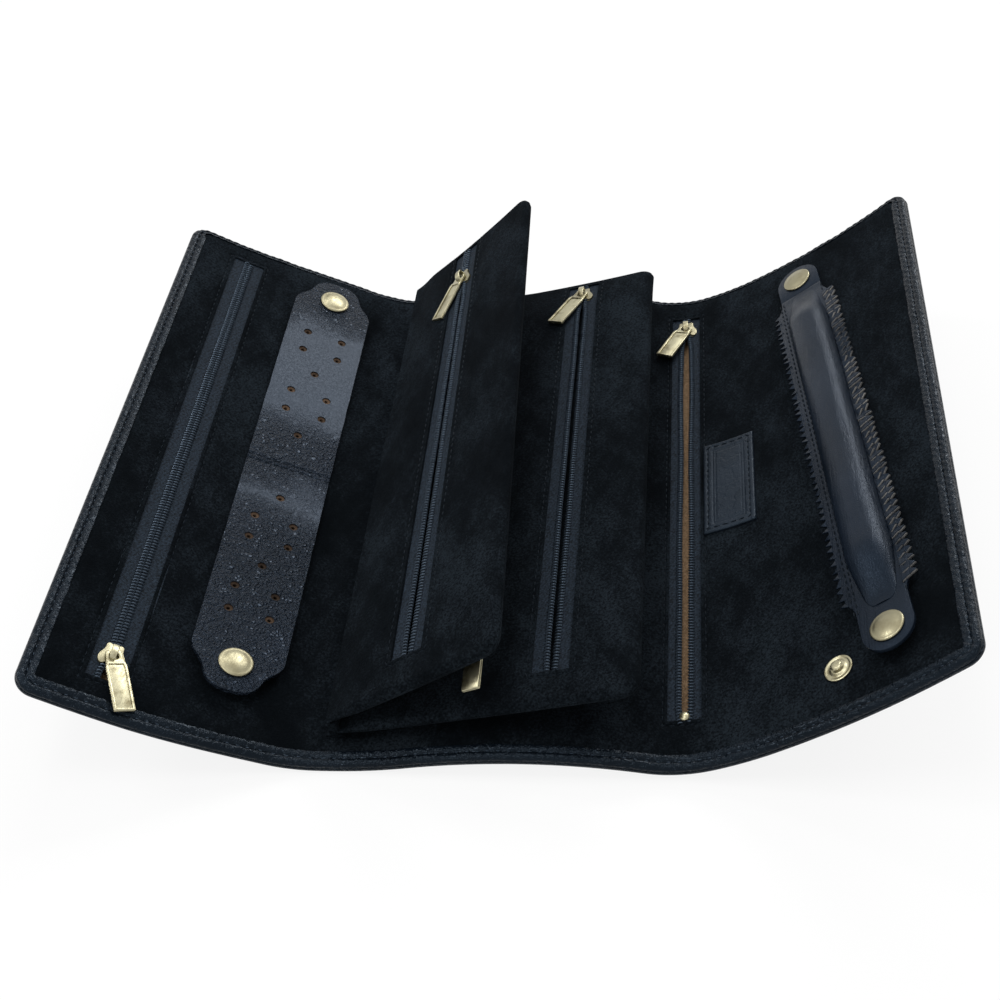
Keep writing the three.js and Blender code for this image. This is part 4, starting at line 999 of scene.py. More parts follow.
@dataclass
class Cover:
    """The leather cover with its rolled, stitched border, and the suede lining."""

    border: float = 5.3 * MM
    back_share: float = 0.5
    corner: float = 6.2 * MM
    grid_corner: float = 2.4 * MM
    skin: float = 0.8 * MM
    lining_bottom: float = 3.35 * MM
    stitch_inset: float = 2.75 * MM
    stitch_pitch: float = 3.1 * MM
    left: Window = Window(24.6 * MM, -108.8 * MM, 110.0 * MM)
    right: Window = Window(206.7 * MM, -101.5 * MM, 107.0 * MM)
    regions: tuple[Region, ...] = (
        Region("left_flap", 0.0, 71.4 * MM, ("left_flap",), ("cover_left_flap",)),
        Region("left_crease", 71.4 * MM, 83.9 * MM, ("left_flap", "left_spine")),
        Region("left_spine", 83.9 * MM, 99.4 * MM, ("left_spine", "centre"), ("cover_left_spine",)),
        Region("centre", 99.4 * MM, 187.4 * MM, ("centre",), ("cover_centre",)),
        Region("right_crease", 187.4 * MM, 198 * MM, ("centre", "right_spine")),
        Region("right_spine", 198 * MM, 234.4 * MM, ("right_spine",), ("cover_right_spine",)),
        Region("flap_crease", 234.4 * MM, 243.4 * MM, ("right_spine", "right_flap")),
        Region("right_flap", 243.4 * MM, 306.4 * MM, ("right_flap",), ("cover_right_flap",)),
    )

    # cross-section of the border as (inward distance, height), in millimetres
    section: tuple[tuple[float, float], ...] = (
        (5.3, 0.0), (1.6, 0.0), (0.8, 0.08), (0.35, 0.3), (0.12, 0.65), (0.02, 1.1), (0.06, 1.5),
        (0.42, 1.72), (0.08, 1.95), (0.0, 2.4), (0.08, 2.95), (0.4, 3.4), (0.9, 3.72), (1.5, 3.9),
        (2.1, 3.92), (2.45, 3.74), (2.75, 3.46), (3.05, 3.76), (3.5, 4.04), (4.2, 4.18), (4.85, 4.24),
        (5.18, 4.16), (5.3, 3.8), (5.3, 2.0),
    )

    def build(self) -> list[Piece]:
        """Builds the border, the outer skin and the lining of every region."""
        made = []
        for region in self.regions:
            leather = join(f"{region.name}_leather", [*self._border(region), self._skin(region)])
            lining = self._lining(region)
            for piece in (leather, lining):
                self._attach(piece, region)
                made.append(piece)
            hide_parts(*region.replaces)
            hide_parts(*(n.replace("cover_", "lining_") for n in region.replaces))
        made += self._border_stitches()
        return made

    def _attach(self, piece: Piece, region: Region) -> None:
        """Lets a piece ride on the region's body; a piece between two bodies is left where it lies, with its
        transform baked.
        """
        if len(region.bodies) == 1:
            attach(piece, region.bodies[0])
            return
        start, end = PROFILE.place(np.array([region.start, region.end]), 0.0, LINING_TOP)
        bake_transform(piece)

    def _pucker(self, s: np.ndarray, y: np.ndarray) -> np.ndarray:
        """The border's small puckers between its stitches, in metres."""
        wave = 0.13 * MM * np.sin(2 * math.pi * (s + y) / self.stitch_pitch)
        return wave + 0.2 * MM * rolling(s, y, 8 * MM, 3.0)

    def _path(self, region: Region) -> list[np.ndarray]:
        """The border's runs through a region, as rows of (s, y, inward s, inward y)."""
        start, end, radius, step = region.start, region.end, self.corner, 0.8 * MM
        if start > 0 and end < PROFILE.width:
            s = grid_lines(start, end, step)
            runs = ((s[::-1], -1), (s, 1))
            level = 0 * s
            rows = [(run, level + side * HALF_LENGTH, level, level - side) for run, side in runs]
            return [np.stack(row, axis=-1) for row in rows]
        side = -1.0 if start <= 0 else 1.0
        edge, open_end = (0.0, end) if side < 0 else (PROFILE.width, start)
        centre_s, centre_y = edge - side * radius, HALF_LENGTH - radius
        s = grid_lines(min(open_end, centre_s), max(open_end, centre_s), step)
        s = s[::-1] if side < 0 else s

        def rounded(middle_y: float, first: float) -> list[tuple[float, ...]]:
            """A corner's rows, from one angle for a quarter turn."""
            turns = first + math.pi / 2 * np.arange(1, 12) / 12
            out_s, out_y = side * np.sin(turns), np.cos(turns)
            return list(zip(centre_s + radius * out_s, middle_y + radius * out_y, -out_s, -out_y))

        rows = [(v, HALF_LENGTH, 0.0, -1.0) for v in s]
        rows += rounded(centre_y, 0.0)
        rows += [(edge, v, -side, 0.0) for v in grid_lines(-centre_y, centre_y, 0.9 * MM)[::-1]]
        rows += rounded(-centre_y, math.pi / 2)
        rows += [(v, -HALF_LENGTH, 0.0, 1.0) for v in s[::-1]]
        return [np.array(rows if side > 0 else rows[::-1])]

    def _narrowed(self, path: np.ndarray) -> np.ndarray:
        """The border's share of its full width along a run: less along the back edge."""
        return 1 - (1 - self.back_share) * np.clip(-path[:, 3], 0, 1) ** 2

    def _border(self, region: Region) -> list[Piece]:
        """The rolled border of a region, swept along its edge."""
        section = np.array(self.section) * MM
        made = []
        for index, path in enumerate(self._path(region)):
            wander = 0.22 * MM * rolling(path[:, 0], path[:, 1], 6 * MM, 5.0)
            inward = section[None, :, 0] + wander[:, None] * (section[None, :, 0] > 4.5 * MM)
            inward = inward * self._narrowed(path)[:, None]
            s = path[:, None, 0] + path[:, None, 2] * inward
            y = path[:, None, 1] + path[:, None, 3] * inward
            height = np.repeat(section[None, :, 1], len(path), axis=0)
            rings = PROFILE.place(s, y, height + (height > 2.5 * MM) * self._pucker(s, y))
            made.append(swept(f"{region.name}_border_{index}", rings[:, ::-1], Finish.BORDER))
        return made

    def _lines(
        self, region: Region, depth: float, steps: tuple[float, float], window: Window | None = None
    ) -> tuple[np.ndarray, np.ndarray]:
        """The s and y lines of a region's sheet, which starts at a depth within the cover's edges."""
        start = max(region.start, depth if region.start <= 0 else region.start)
        end = min(region.end, PROFILE.width - depth if region.end >= PROFILE.width else region.end)
        front, back = depth - HALF_LENGTH, HALF_LENGTH - depth * self.back_share
        marks = (window.across(), window.along(1.7 * MM)) if window else ((), ())
        return grid_lines(start, end, steps[0], marks[0]), grid_lines(front, back, steps[1], marks[1])

    def _fit(
        self, region: Region, s: np.ndarray, y: np.ndarray, depth: float
    ) -> tuple[np.ndarray, np.ndarray]:
        """The grid of two sets of lines, its outer columns drawn in to a flap's rounded corners."""
        radius, reach = self.grid_corner, 30 * MM
        past = np.clip(np.maximum(y - y[-1], y[0] - y) + radius, 0.0, radius)
        inset = radius - np.sqrt(np.maximum(radius**2 - past**2, 0.0))
        grid_s, grid_y = np.meshgrid(s, y, indexing="ij")
        if region.start <= 0:
            grid_s = grid_s + np.clip(1 - (grid_s - depth) / reach, 0, 1) * inset
        elif region.end >= PROFILE.width:
            grid_s = grid_s - np.clip(1 - (PROFILE.width - depth - grid_s) / reach, 0, 1) * inset
        return grid_s, grid_y

    def _skin(self, region: Region) -> Piece:
        """The leather of the outside, within the border."""
        depth = self.border - 0.8 * MM
        s, y = self._fit(region, *self._lines(region, depth, (2.2 * MM, 2.4 * MM)), depth)
        roll = 0.12 * MM * (1 + rolling(s, y, 22 * MM, 9.0))
        bottom = PROFILE.place(s, y, 0.03 * MM)
        return slab(f"{region.name}_skin", PROFILE.place(s, y, self.skin + roll), bottom, Finish.BORDER)

    def _lining(self, region: Region) -> Piece:
        """The padded suede of the inside, with the zip windows cut in it."""
        depth, keep = self.border - 0.7 * MM, None
        window = {"left_flap": self.left, "right_spine": self.right}.get(region.name)
        across, along = self._lines(region, depth, (1.6 * MM, 1.8 * MM), window)
        if window:
            across, along, keep = window.cut(across, along)
        s, y = self._fit(region, across, along, depth)
        top, bottom = PROFILE.place(s, y, self.lining_height(s, y)), PROFILE.place(s, y, self.lining_bottom)
        return slab(f"{region.name}_lining", top, bottom, Finish.SUEDE, keep)

    def lining_height(self, s: np.ndarray, y: np.ndarray) -> np.ndarray:
        """The suede's height above the outer face, with its soft rolls and sewn lines."""
        s, y = np.broadcast_arrays(s, y)
        height = LINING_TOP + 0.35 * MM * rolling(s, y, 34 * MM, 1.5)
        height = height + 0.12 * MM * rolling(s, y, 12 * MM, 4.5)
        ends = np.minimum(HALF_LENGTH + y, HALF_LENGTH - y + self.border * (1 - self.back_share))
        edge = np.minimum(np.minimum(s, PROFILE.width - s), ends) - self.border
        height = height - 0.5 * MM * np.exp(-np.clip(edge, 0, None) / (0.7 * MM))
        for window in (self.left, self.right):
            out = window.outside(s, y)
            groove = 0.38 * MM * bell(out - window.stitch_out, 0.55 * MM)
            lip = 0.15 * MM * ((out < 1.1 * MM) & (out > -0.2 * MM))
            height = height - groove + lip
        return height

    def _border_stitches(self) -> list[Piece]:
        """The thread in the border's groove, one piece for each region."""
        maker = stitches(self.stitch_pitch, 1.3 * MM, 0.38 * MM, Finish.EDGE_THREAD)
        made = []
        for region in self.regions:
            paths = []
            for path in self._path(region):
                inset = self.stitch_inset * self._narrowed(path)
                s = path[:, 0] + path[:, 2] * inset
                y = path[:, 1] + path[:, 3] * inset
                paths.append(PROFILE.place(s, y, 3.6 * MM + self._pucker(s, y)))
            piece = maker.lay(f"{region.name}_border_stitches", paths)
            self._attach(piece, region)
            made.append(piece)
        return made


# ---- zips


class ZipState(Enum):
    """How a zip's two rows lie in front of its slider."""

    CLOSED = 0.0
    NARROW = 0.5
    OPEN = 1.0


@dataclass
class Hardware:
    """The sliders and pulls, all of one pattern."""

    half_length: float = 4.3 * MM
    throat: float = 4.2 * MM
    tail: float = 2.9 * MM
    plate_low: float = 1.0 * MM
    plate_high: float = 1.75 * MM
    pull_length: float = 21.0 * MM
    pull_width: float = 6.6 * MM

    def shield(self) -> np.ndarray:
        """The slider plate's outline, its throat towards -Y."""
        side = (
            (0.32, -0.72), (0.62, -0.98), (0.86, -0.86), (1.0, -0.5), (0.97, -0.18),
            (0.74, 0.22), (0.62, 0.55), (0.66, 0.82), (0.5, 1.0), (0.22, 0.9),
        )
        return self.rounded(mirrored([(x * self.throat / MM, y * self.half_length / MM) for x, y in side]))

    @staticmethod
    def rounded(points: np.ndarray, rounds: int = 2, closed: bool = True) -> np.ndarray:
        """Cuts an outline's corners until it is smooth; an open one keeps its two ends."""
        for _ in range(rounds):
            before = points if closed else points[:-1]
            after = np.roll(points, -1, axis=0) if closed else points[1:]
            cut = np.stack([0.75 * before + 0.25 * after, 0.25 * before + 0.75 * after], axis=1)
            cut = cut.reshape(-1, 2)
            points = cut if closed else np.concatenate([points[:1], cut, points[-1:]])
        return points

    def slider(self, name: str, seat: Seat) -> Piece:
        """A slider: two shield plates, side flanges, a wedge post and the bail."""
        shield, low, high = self.shield(), self.plate_low, self.plate_high
        lip, seam = 0.5 * MM, low + 0.1 * MM
        post = np.array([(-0.35, -3.4), (0.35, -3.4), (0.5, -0.5), (-0.5, -0.5)]) * MM
        plates = [(shield, low, high), (shield * 0.97, -high, -low)]
        for side in (-1, 1):
            edge = np.array([(x, y) for x, y in shield if side * x > 0.5 * self.tail])
            edge = edge[np.argsort(edge[:, 1])]
            ring = np.concatenate([edge, (edge - [side * 0.7 * MM, 0.0])[::-1]])[::side]
            plates += [(ring, lip, seam), (ring, -seam, -lip)]
        plates.append((post, -low, low))
        brass = Finish.CAP_BRASS
        parts = [outline_solid(name, ring, under, over, seat, brass) for ring, under, over in plates]
        body = soften(join(name, parts), 0.22 * MM)
        return join(name, [body, self._bail(f"{name}_bail", seat)])

    def _bail(self, name: str, seat: Seat) -> Piece:
        """The strap that arches along the plate and holds the pull."""
        rear = ((2.7, -0.5), (2.7, 1.0), (2.2, 2.1), (1.0, 2.55))
        front = ((-0.6, 2.6), (-1.9, 2.3), (-2.6, 1.3), (-2.7, -0.5))
        line = np.array([*rear, *front]) * MM + [0.0, self.plate_high]
        last, half = len(line) - 1, 0.32 * MM
        rings = []
        for k, (y, z) in enumerate(line):
            along = line[min(k + 1, last)] - line[max(k - 1, 0)]
            out_y, out_z = half * np.array([along[1], -along[0]]) / np.linalg.norm(along)
            wide = (1.05 if 1 < k < last - 1 else 0.85) * MM
            corners = ((-wide, -1), (wide, -1), (wide, 1), (-wide, 1))
            ring = [(x, y + side * out_y, z + side * out_z) for x, side in corners]
            rings.append(seat.place(np.array(ring)))
        return soften(outwards(swept(name, np.array(rings), Finish.BRASS)), 0.18 * MM, 1)

    def pull(self, name: str, seat: Seat) -> Piece:
        """A pull plate along -Y: a rounded eye, sloping shoulders and a framed bare panel."""
        half, end, rim = self.pull_width / 2 / MM, -self.pull_length / MM, 0.85
        outline = mirrored([
            (half - 0.3, end), (half, end + 0.3), (half, -5.2), (2.6, -2.2), (2.55, -0.2), (2.15, 0.9)
        ], first=6)
        window = mirrored([(half - rim, end + rim), (half - rim, -5.4), (2.2, -4.3)], first=-1)
        frame_edge = mirrored([(half, end), (half, -5.0), (2.7, -3.35)], first=-1)
        turns = np.linspace(0, 2 * math.pi, 20, endpoint=False)
        eye = np.stack([1.45 * np.cos(turns), -1.15 + 1.4 * np.sin(turns)], axis=-1) * MM
        plate = outline_solid(f"{name}_plate", outline, -0.5 * MM, 0.32 * MM, seat, Finish.BRASS, [eye[::-1]])
        raised = outline_solid(
            f"{name}_frame", frame_edge, 0.28 * MM, 0.66 * MM, seat, Finish.BRASS, [window[::-1]]
        )
        return soften(join(name, [plate, raised]), 0.16 * MM)


@dataclass
class Zip:
    """One zip: woven tapes, coil rows, stitched edges, slider and pull.

    The seat's origin lies on the zip's middle line at y = 0, in the tape's plane.
    """

    name: str
    seat: Seat
    front: float
    back: float
    slider_y: float
    pull_turn: float
    pull_droop: float
    bodies: tuple[str, str, str]
    state: ZipState
    bend: Callable[[np.ndarray], np.ndarray] | None = None
    hardware: Hardware = field(default_factory=Hardware)
    coil_pitch: float = 1.27 * MM
    coil_out: float = 0.84 * MM
    seam_out: float = 1.95 * MM
    tape_edge: float = 7.6 * MM
    lift: float = 0.55 * MM
    bail_height: float = 2.55 * MM

    def put(self, x: np.ndarray, y: np.ndarray, z: np.ndarray) -> np.ndarray:
        """Points of the zip's own axes, bent with what carries it."""
        points = np.stack(np.broadcast_arrays(x, y, z), axis=-1)
        return self.bend(points) if self.bend else self.seat.place(points)

    def seat_at(self, y: float) -> Seat:
        """The bent zip's seat at one place along it."""
        step = 1.0 * MM
        origin, right, ahead = self.put(np.array([0.0, step, 0.0]), np.array([y, y, y + step]), np.zeros(3))
        along = (ahead - origin) / np.linalg.norm(ahead - origin)
        across = right - origin
        across = across - along * float(across @ along)
        across = across / np.linalg.norm(across)
        return Seat(origin, across, along, np.cross(across, along))

    def spread(self, y: np.ndarray) -> np.ndarray:
        """Half the distance between the rows' inner ends at each y, in metres."""
        ahead = self.slider_y - np.asarray(y, float)
        if self.state is ZipState.CLOSED:  # only the last turns in front of the slider lie open
            return np.clip(ahead / (7 * MM), 0, 1) * 1.2 * MM
        opening = eased(share(ahead, 0.0, 14 * MM))
        gap = (0.3 + 0.75 * self.state.value) * MM
        wander = 0.25 * MM * rolling(y, 0 * y, 40 * MM, float(len(self.name)))
        near_stop = share(y, self.front, self.front + 9 * MM)
        return np.maximum((gap + wander) * opening * (0.35 + 0.65 * near_stop), 0.0)

    def build(self, coil: RowMaker, sewing: RowMaker) -> list[Piece]:
        """Builds every piece of the zip.

        Args:
            coil: The maker of coil turns.
            sewing: The maker of the fine stitches that hold the coil.

        Returns:
            The pieces.
        """
        made = []
        body, slider_body, pull_body = self.bodies
        for side, word in ((-1, "left"), (1, "right")):
            tape = self._tape(side, word)
            rows = self._coil(side, word, coil, sewing)
            row = join(f"{self.name}_{word}_tape", [tape, *rows])
            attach(row, body)
            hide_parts(f"{self.name}_{word}_row")
            made.append(row)
        place = self.seat_at(self.slider_y)
        slider = self.hardware.slider(f"{self.name}_slider_dressed", place)
        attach(slider, slider_body)
        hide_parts(f"{self.name}_slider")
        hinge = place.moved(z=self.bail_height).turned("z", self.pull_turn).turned("x", self.pull_droop)
        pull = self.hardware.pull(f"{self.name}_pull_dressed", hinge)
        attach(pull, pull_body)
        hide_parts(f"{self.name}_pull")
        return [*made, slider, pull]

    def _tape(self, side: int, word: str) -> Piece:
        """One woven tape, from the coil out to under the lining."""
        along = grid_lines(self.front, self.back, 1.6 * MM)
        across, y = np.meshgrid(np.linspace(0, 1, 9), along, indexing="ij")
        inner = self.spread(y) + 0.25 * MM
        x = side * (inner + (self.tape_edge - inner) * across)
        z = 0.12 * MM * np.sin(across * math.pi) + 0.1 * MM * rolling(x, y, 15 * MM, 6.0)
        top, bottom = self.put(x, y, z + 0.22 * MM + self.lift), self.put(x, y, z - 0.2 * MM + self.lift)
        return slab(f"{self.name}_{word}_weave", top[::side], bottom[::side], Finish.TAPE)

    def _coil(self, side: int, word: str, coil: RowMaker, sewing: RowMaker) -> list[Piece]:
        """The coil's turns and the sewing along them."""
        margin = 2.5 * MM
        start = self.front + margin + (0.5 * self.coil_pitch if side > 0 else 0.0)
        y = np.arange(start, self.back - margin, self.coil_pitch)
        line = self.put(side * (self.spread(y) + self.coil_out), y, 0.4 * MM + self.lift)
        turns = coil.lay(f"{self.name}_{word}_turns", [line[::-side]], self.seat.z)
        seam = self.put(side * (self.spread(y) + self.seam_out), y, 0.28 * MM + self.lift)
        return [turns, sewing.lay(f"{self.name}_{word}_seam", [seam], self.seat.z)]


def coil_turn() -> Piece:
    """One turn of a coil row: a slanted loop whose head bulges towards -X."""
    steps, around = 12, 6
    across, high, slant = 0.78 * MM, 0.48 * MM, 0.16 * MM
    rings = []
    for k in range(steps):
        turn = 2 * math.pi * k / steps
        head = max(0.0, -math.cos(turn)) ** 3
        centre = np.array([across * math.cos(turn), slant * math.sin(turn), high * math.sin(turn)])
        out = np.array([math.cos(turn), 0.0, math.sin(turn)])
        side = np.array([0.0, 1.0 + 0.25 * head, 0.0])
        thick = (0.25 + 0.06 * head) * MM
        angles = [-2 * math.pi * j / around for j in range(around)]
        rings.append([centre + thick * (math.cos(angle) * out + math.sin(angle) * side) for angle in angles])
    return outwards(swept("coil_turn", np.array(rings), Finish.COIL, closed=True))


# ---- pages


@dataclass
class Page:
    """A padded suede page: two leaves round a flat pouch, sewn to the spine at its root."""

    name: str
    body: str
    seat: Seat
    width: float
    zips: dict[int, float]
    front: float = -109.5 * MM
    back: float = 119.0 * MM
    corner: float = 6.0 * MM
    half: float = 2.2 * MM
    root_half: float = 0.9 * MM
    zip_front: float = -100.0 * MM
    zip_back: float = 111.0 * MM
    window_margin: float = 3 * MM
    crown: float = 0.5 * MM
    bow: tuple[float, float] = (0.0, 0.0)
    corner_lift: tuple[float, float] = (0.0, 0.0)
    end_droop: float = 0.0

    def window(self, side: int) -> Window | None:
        """The zip window of one side, if it has a zip."""
        if side not in self.zips:
            return None
        low, high = self.zip_front + self.window_margin, self.zip_back - self.window_margin
        return Window(self.zips[side], low, high)

    def past_corner(self, y: np.ndarray) -> np.ndarray:
        """How far each y lies past the start of the rounded corners."""
        middle, reach = (self.front + self.back) / 2, (self.back - self.front) / 2 - self.corner
        return np.abs(y - middle) - reach

    def inside(self, x: np.ndarray, y: np.ndarray) -> np.ndarray:
        """How far a point lies inside the page's rounded outline."""
        past_x, past_y = x - (self.width - self.corner), self.past_corner(y)
        round_part = np.hypot(np.clip(past_x, 0, None), np.clip(past_y, 0, None))
        return self.corner - np.where((past_x > 0) & (past_y > 0), round_part, np.maximum(past_x, past_y))

    def thickness(self, x: np.ndarray, y: np.ndarray, side: int) -> np.ndarray:
        """Half the page's thickness: crowned, rolled at the edges and thin at the root."""
        depth = self.inside(x, y)
        rounded = np.sqrt(1 - (1 - share(depth, 0.0, 2.4 * MM)) ** 2)
        root = eased(share(x, 2 * MM, 13 * MM))
        full = self.root_half + (self.half - self.root_half) * root
        swell = self.crown * share(depth, 0.0, 26 * MM) * root
        soft = 0.4 * MM * rolling(x, y, 30 * MM, 2.0 + side) * share(depth, 0.0, 8 * MM) * root
        height = full * rounded + swell + soft
        window = self.window(side)
        if window:
            out = window.outside(x, y)
            height = height - 0.35 * MM * bell(out - window.stitch_out, 0.6 * MM)
            height = np.where(out < 5 * MM, np.minimum(height, self.half + 0.15 * MM), height)
        return np.maximum(height, 0.12 * MM)

    def warp(self, points: np.ndarray) -> np.ndarray:
        """Bows and twists the flat page, lets its back end droop, and moves it to its seat."""
        points = np.asarray(points, float).copy()
        out = share(points[..., 0], 0.0, self.width)
        ahead = share(-points[..., 1], -self.back, -self.front)
        (front_lift, back_lift), (front_bow, back_bow) = self.corner_lift, self.bow
        lift = (back_lift + (front_lift - back_lift) * ahead) * out**1.9
        sag = (back_bow + (front_bow - back_bow) * ahead) * 4 * out * (1 - out)
        end = share(points[..., 1], self.back - 24 * MM, self.back)
        points[..., 2] += lift - sag - self.end_droop * end**2 * np.clip(2 * out, 0, 1)
        return self.seat.place(points)

    def build(self, sewing: RowMaker) -> list[Piece]:
        """Builds the two leaves with the stitches round their zips."""
        made = []
        for side, word in ((1, "upper"), (-1, "lower")):
            leaf = self._leaf(side, word)
            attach(leaf, self.body)
            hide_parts(f"{self.name}_{word}_leaf")
            made.append(leaf)
            for path in self._stitch_paths(side):
                sewn = sewing.lay(f"{self.name}_{word}_stitches", [path], self.seat.z * side)
                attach(sewn, self.body)
                made.append(sewn)
        return made

    def _leaf(self, side: int, word: str) -> Piece:
        """One leaf as a closed padded sheet."""
        window, keep, rim = self.window(side), None, 1.3 * MM
        marks = (window.across(), window.along(1.6 * MM)) if window else ((), ())
        x = grid_lines(0.6 * MM, self.width, 1.5 * MM, [*marks[0], self.width - rim])
        y = grid_lines(self.front, self.back, 1.8 * MM, [self.front + rim, self.back - rim, *marks[1]])
        if window:
            x, y, keep = window.cut(x, y)
        x, y = np.meshgrid(x, y, indexing="ij")
        inset = self.corner - np.sqrt(self.corner**2 - np.clip(self.past_corner(y), 0, self.corner) ** 2)
        x = x - inset * np.clip(1 - (self.width - x) / (24 * MM), 0, 1)
        outer, least = self.thickness(x, y, side), 0.04 * MM
        wall = np.clip(outer - 0.9 * MM, least, None) * (self.inside(x, y) > 3 * MM) + least
        upper = self.warp(np.stack([x, y, side * outer], axis=-1))
        lower = self.warp(np.stack([x, y, side * wall], axis=-1))
        top, bottom = (upper, lower) if side > 0 else (lower, upper)
        return slab(f"{self.name}_{word}_suede", top, bottom, Finish.SUEDE, keep)

    def _stitch_paths(self, side: int) -> list[np.ndarray]:
        """The stitched line round the zip window of one side, if it has one."""
        window = self.window(side)
        if not window:
            return []
        a, b, low, high = window.stitched()
        corners = ((a, high), (a, low), (b, low), (b, high))
        runs = []
        for start, end in zip(corners[:-1], corners[1:]):
            count = max(2, int(math.dist(start, end) / (2 * MM)))
            runs.append(np.linspace(start, end, count + 1)[:-1])
        x, y = np.concatenate([*runs, corners[-1:]]).T
        height = self.thickness(x, y, side) + 0.02 * MM
        return [self.warp(np.stack([x, y, side * height], axis=-1))]


@dataclass
class PageBlock:
    """Both pages with their binding strip, gusset and zips."""

    axis_s: float = 97.6 * MM
    axis_height: float = 6.55 * MM
    lower_angle: float = 12.5
    upper_angle: float = 36.0
    stack: float = 4.8 * MM
    tape_height: float = 0.7 * MM
    front: float = -109.5 * MM
    row_step: float = 2.5 * MM

    def lower_seat(self) -> Seat:
        """The lower page's seat at its root line."""
        origin = PROFILE.place(self.axis_s, 0.0, self.axis_height)
        return Seat(origin, *np.eye(3)).turned("y", -self.lower_angle)

    def upper_seat(self) -> Seat:
        """The upper page's seat, one stack height over the lower page's."""
        return self.lower_seat().moved(z=self.stack).turned("y", -(self.upper_angle - self.lower_angle))

    def build(self, coil: RowMaker, coil_sewing: RowMaker, sewing: RowMaker) -> list[Piece]:
        """Builds the pages, their zips and what holds their roots."""
        first = Page(
            "page_1",
            "page_1",
            self.upper_seat(),
            width=65 * MM,
            zips={1: 30.5 * MM, -1: 53 * MM},
            zip_back=118.5 * MM,
            bow=(1.5 * MM, -0.6 * MM),
            corner_lift=(-4.0 * MM, 7.6 * MM),
        )
        second = Page(
            "page_2",
            "page_2",
            self.lower_seat(),
            width=97 * MM,
            zips={1: 69 * MM},
            back=112.5 * MM,
            zip_back=111.5 * MM,
            bow=(0.7 * MM, 1.6 * MM),
            end_droop=2.0 * MM,
        )
        made = [*first.build(sewing), *second.build(sewing)]
        zips = [
            self._zip(first, "page_1_zip", 1, 97 * MM, -30, 0.4, ZipState.NARROW),
            self._zip(first, "page_1_reverse_zip", -1, -92 * MM, 12, -12, ZipState.CLOSED),
            self._zip(second, "page_2_zip", 1, 101 * MM, -27, 0.4, ZipState.NARROW),
        ]
        for item in zips:
            made += item.build(coil, coil_sewing)
        return [*made, self._binding(first), self._gusset(second)]

    def _zip(
        self, page: Page, name: str, side: int, slider_y: float, turn: float, droop: float, state: ZipState
    ) -> Zip:
        """A zip in a page's upper or lower leaf, bent with the page.

        Args:
            page: The page that carries it.
            name: The zip's name.
            side: 1 for the upper leaf and -1 for the lower.
            slider_y: Where its slider stands.
            turn: How far the pull is swung about the leaf's normal, in degrees.
            droop: How far the pull's free end stands off the leaf, in degrees.
            state: How its rows lie.

        Returns:
            The zip, ready to build.
        """
        middle = page.zips[side]
        seat = page.seat.moved(x=middle, z=side * self.tape_height)
        seat = seat if side > 0 else seat.turned("y", 180)

        def bend(points: np.ndarray) -> np.ndarray:
            """Points of the zip's own axes, on the bent page."""
            x, y, z = np.moveaxis(points, -1, 0)
            return page.warp(np.stack([middle + side * x, y, side * (self.tape_height + z)], axis=-1))

        bodies = (page.body, name.replace("_zip", "_slider"), name.replace("_zip", "_pull"))
        return Zip(name, seat, page.zip_front, page.zip_back, slider_y, turn, droop, bodies, state, bend)

    def _binding(self, page: Page) -> Piece:
        """The suede strip that is sewn down along the pages' roots."""
        start, end = 95.0 * MM, 102.4 * MM
        lines = grid_lines(start, end, 0.8 * MM), grid_lines(self.front, page.back, self.row_step)
        s, y = np.meshgrid(*lines, indexing="ij")
        rise = 1.15 * MM * np.sin(share(s, start, end) * math.pi) ** 0.5
        top, bottom = PROFILE.place(s, y, 4.3 * MM + rise), PROFILE.place(s, y, 4.1 * MM)
        strip = slab("page_binding_suede", top, bottom, Finish.SUEDE)
        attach(strip, "centre")
        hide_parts("page_binding")
        return strip

    def _gusset(self, page: Page) -> Piece:
        """The folded suede between the two roots."""
        lines = np.linspace(-0.4 * MM, 2.6 * MM, 5), grid_lines(self.front, page.back, self.row_step)
        x, y = np.meshgrid(*lines, indexing="ij")
        bulge = 0.2 * MM * rolling(x, y, 14 * MM, 8.0)
        top = page.seat.place(np.stack([x + bulge, y, 4.1 * MM + 0 * x], axis=-1))
        bottom = page.seat.place(np.stack([x - bulge, y, -0.5 * MM + 0 * x], axis=-1))
        fold = slab("page_root_fold", top, bottom, Finish.SUEDE)
        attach(fold, "page_2")
        return fold


# ---- snaps and strips


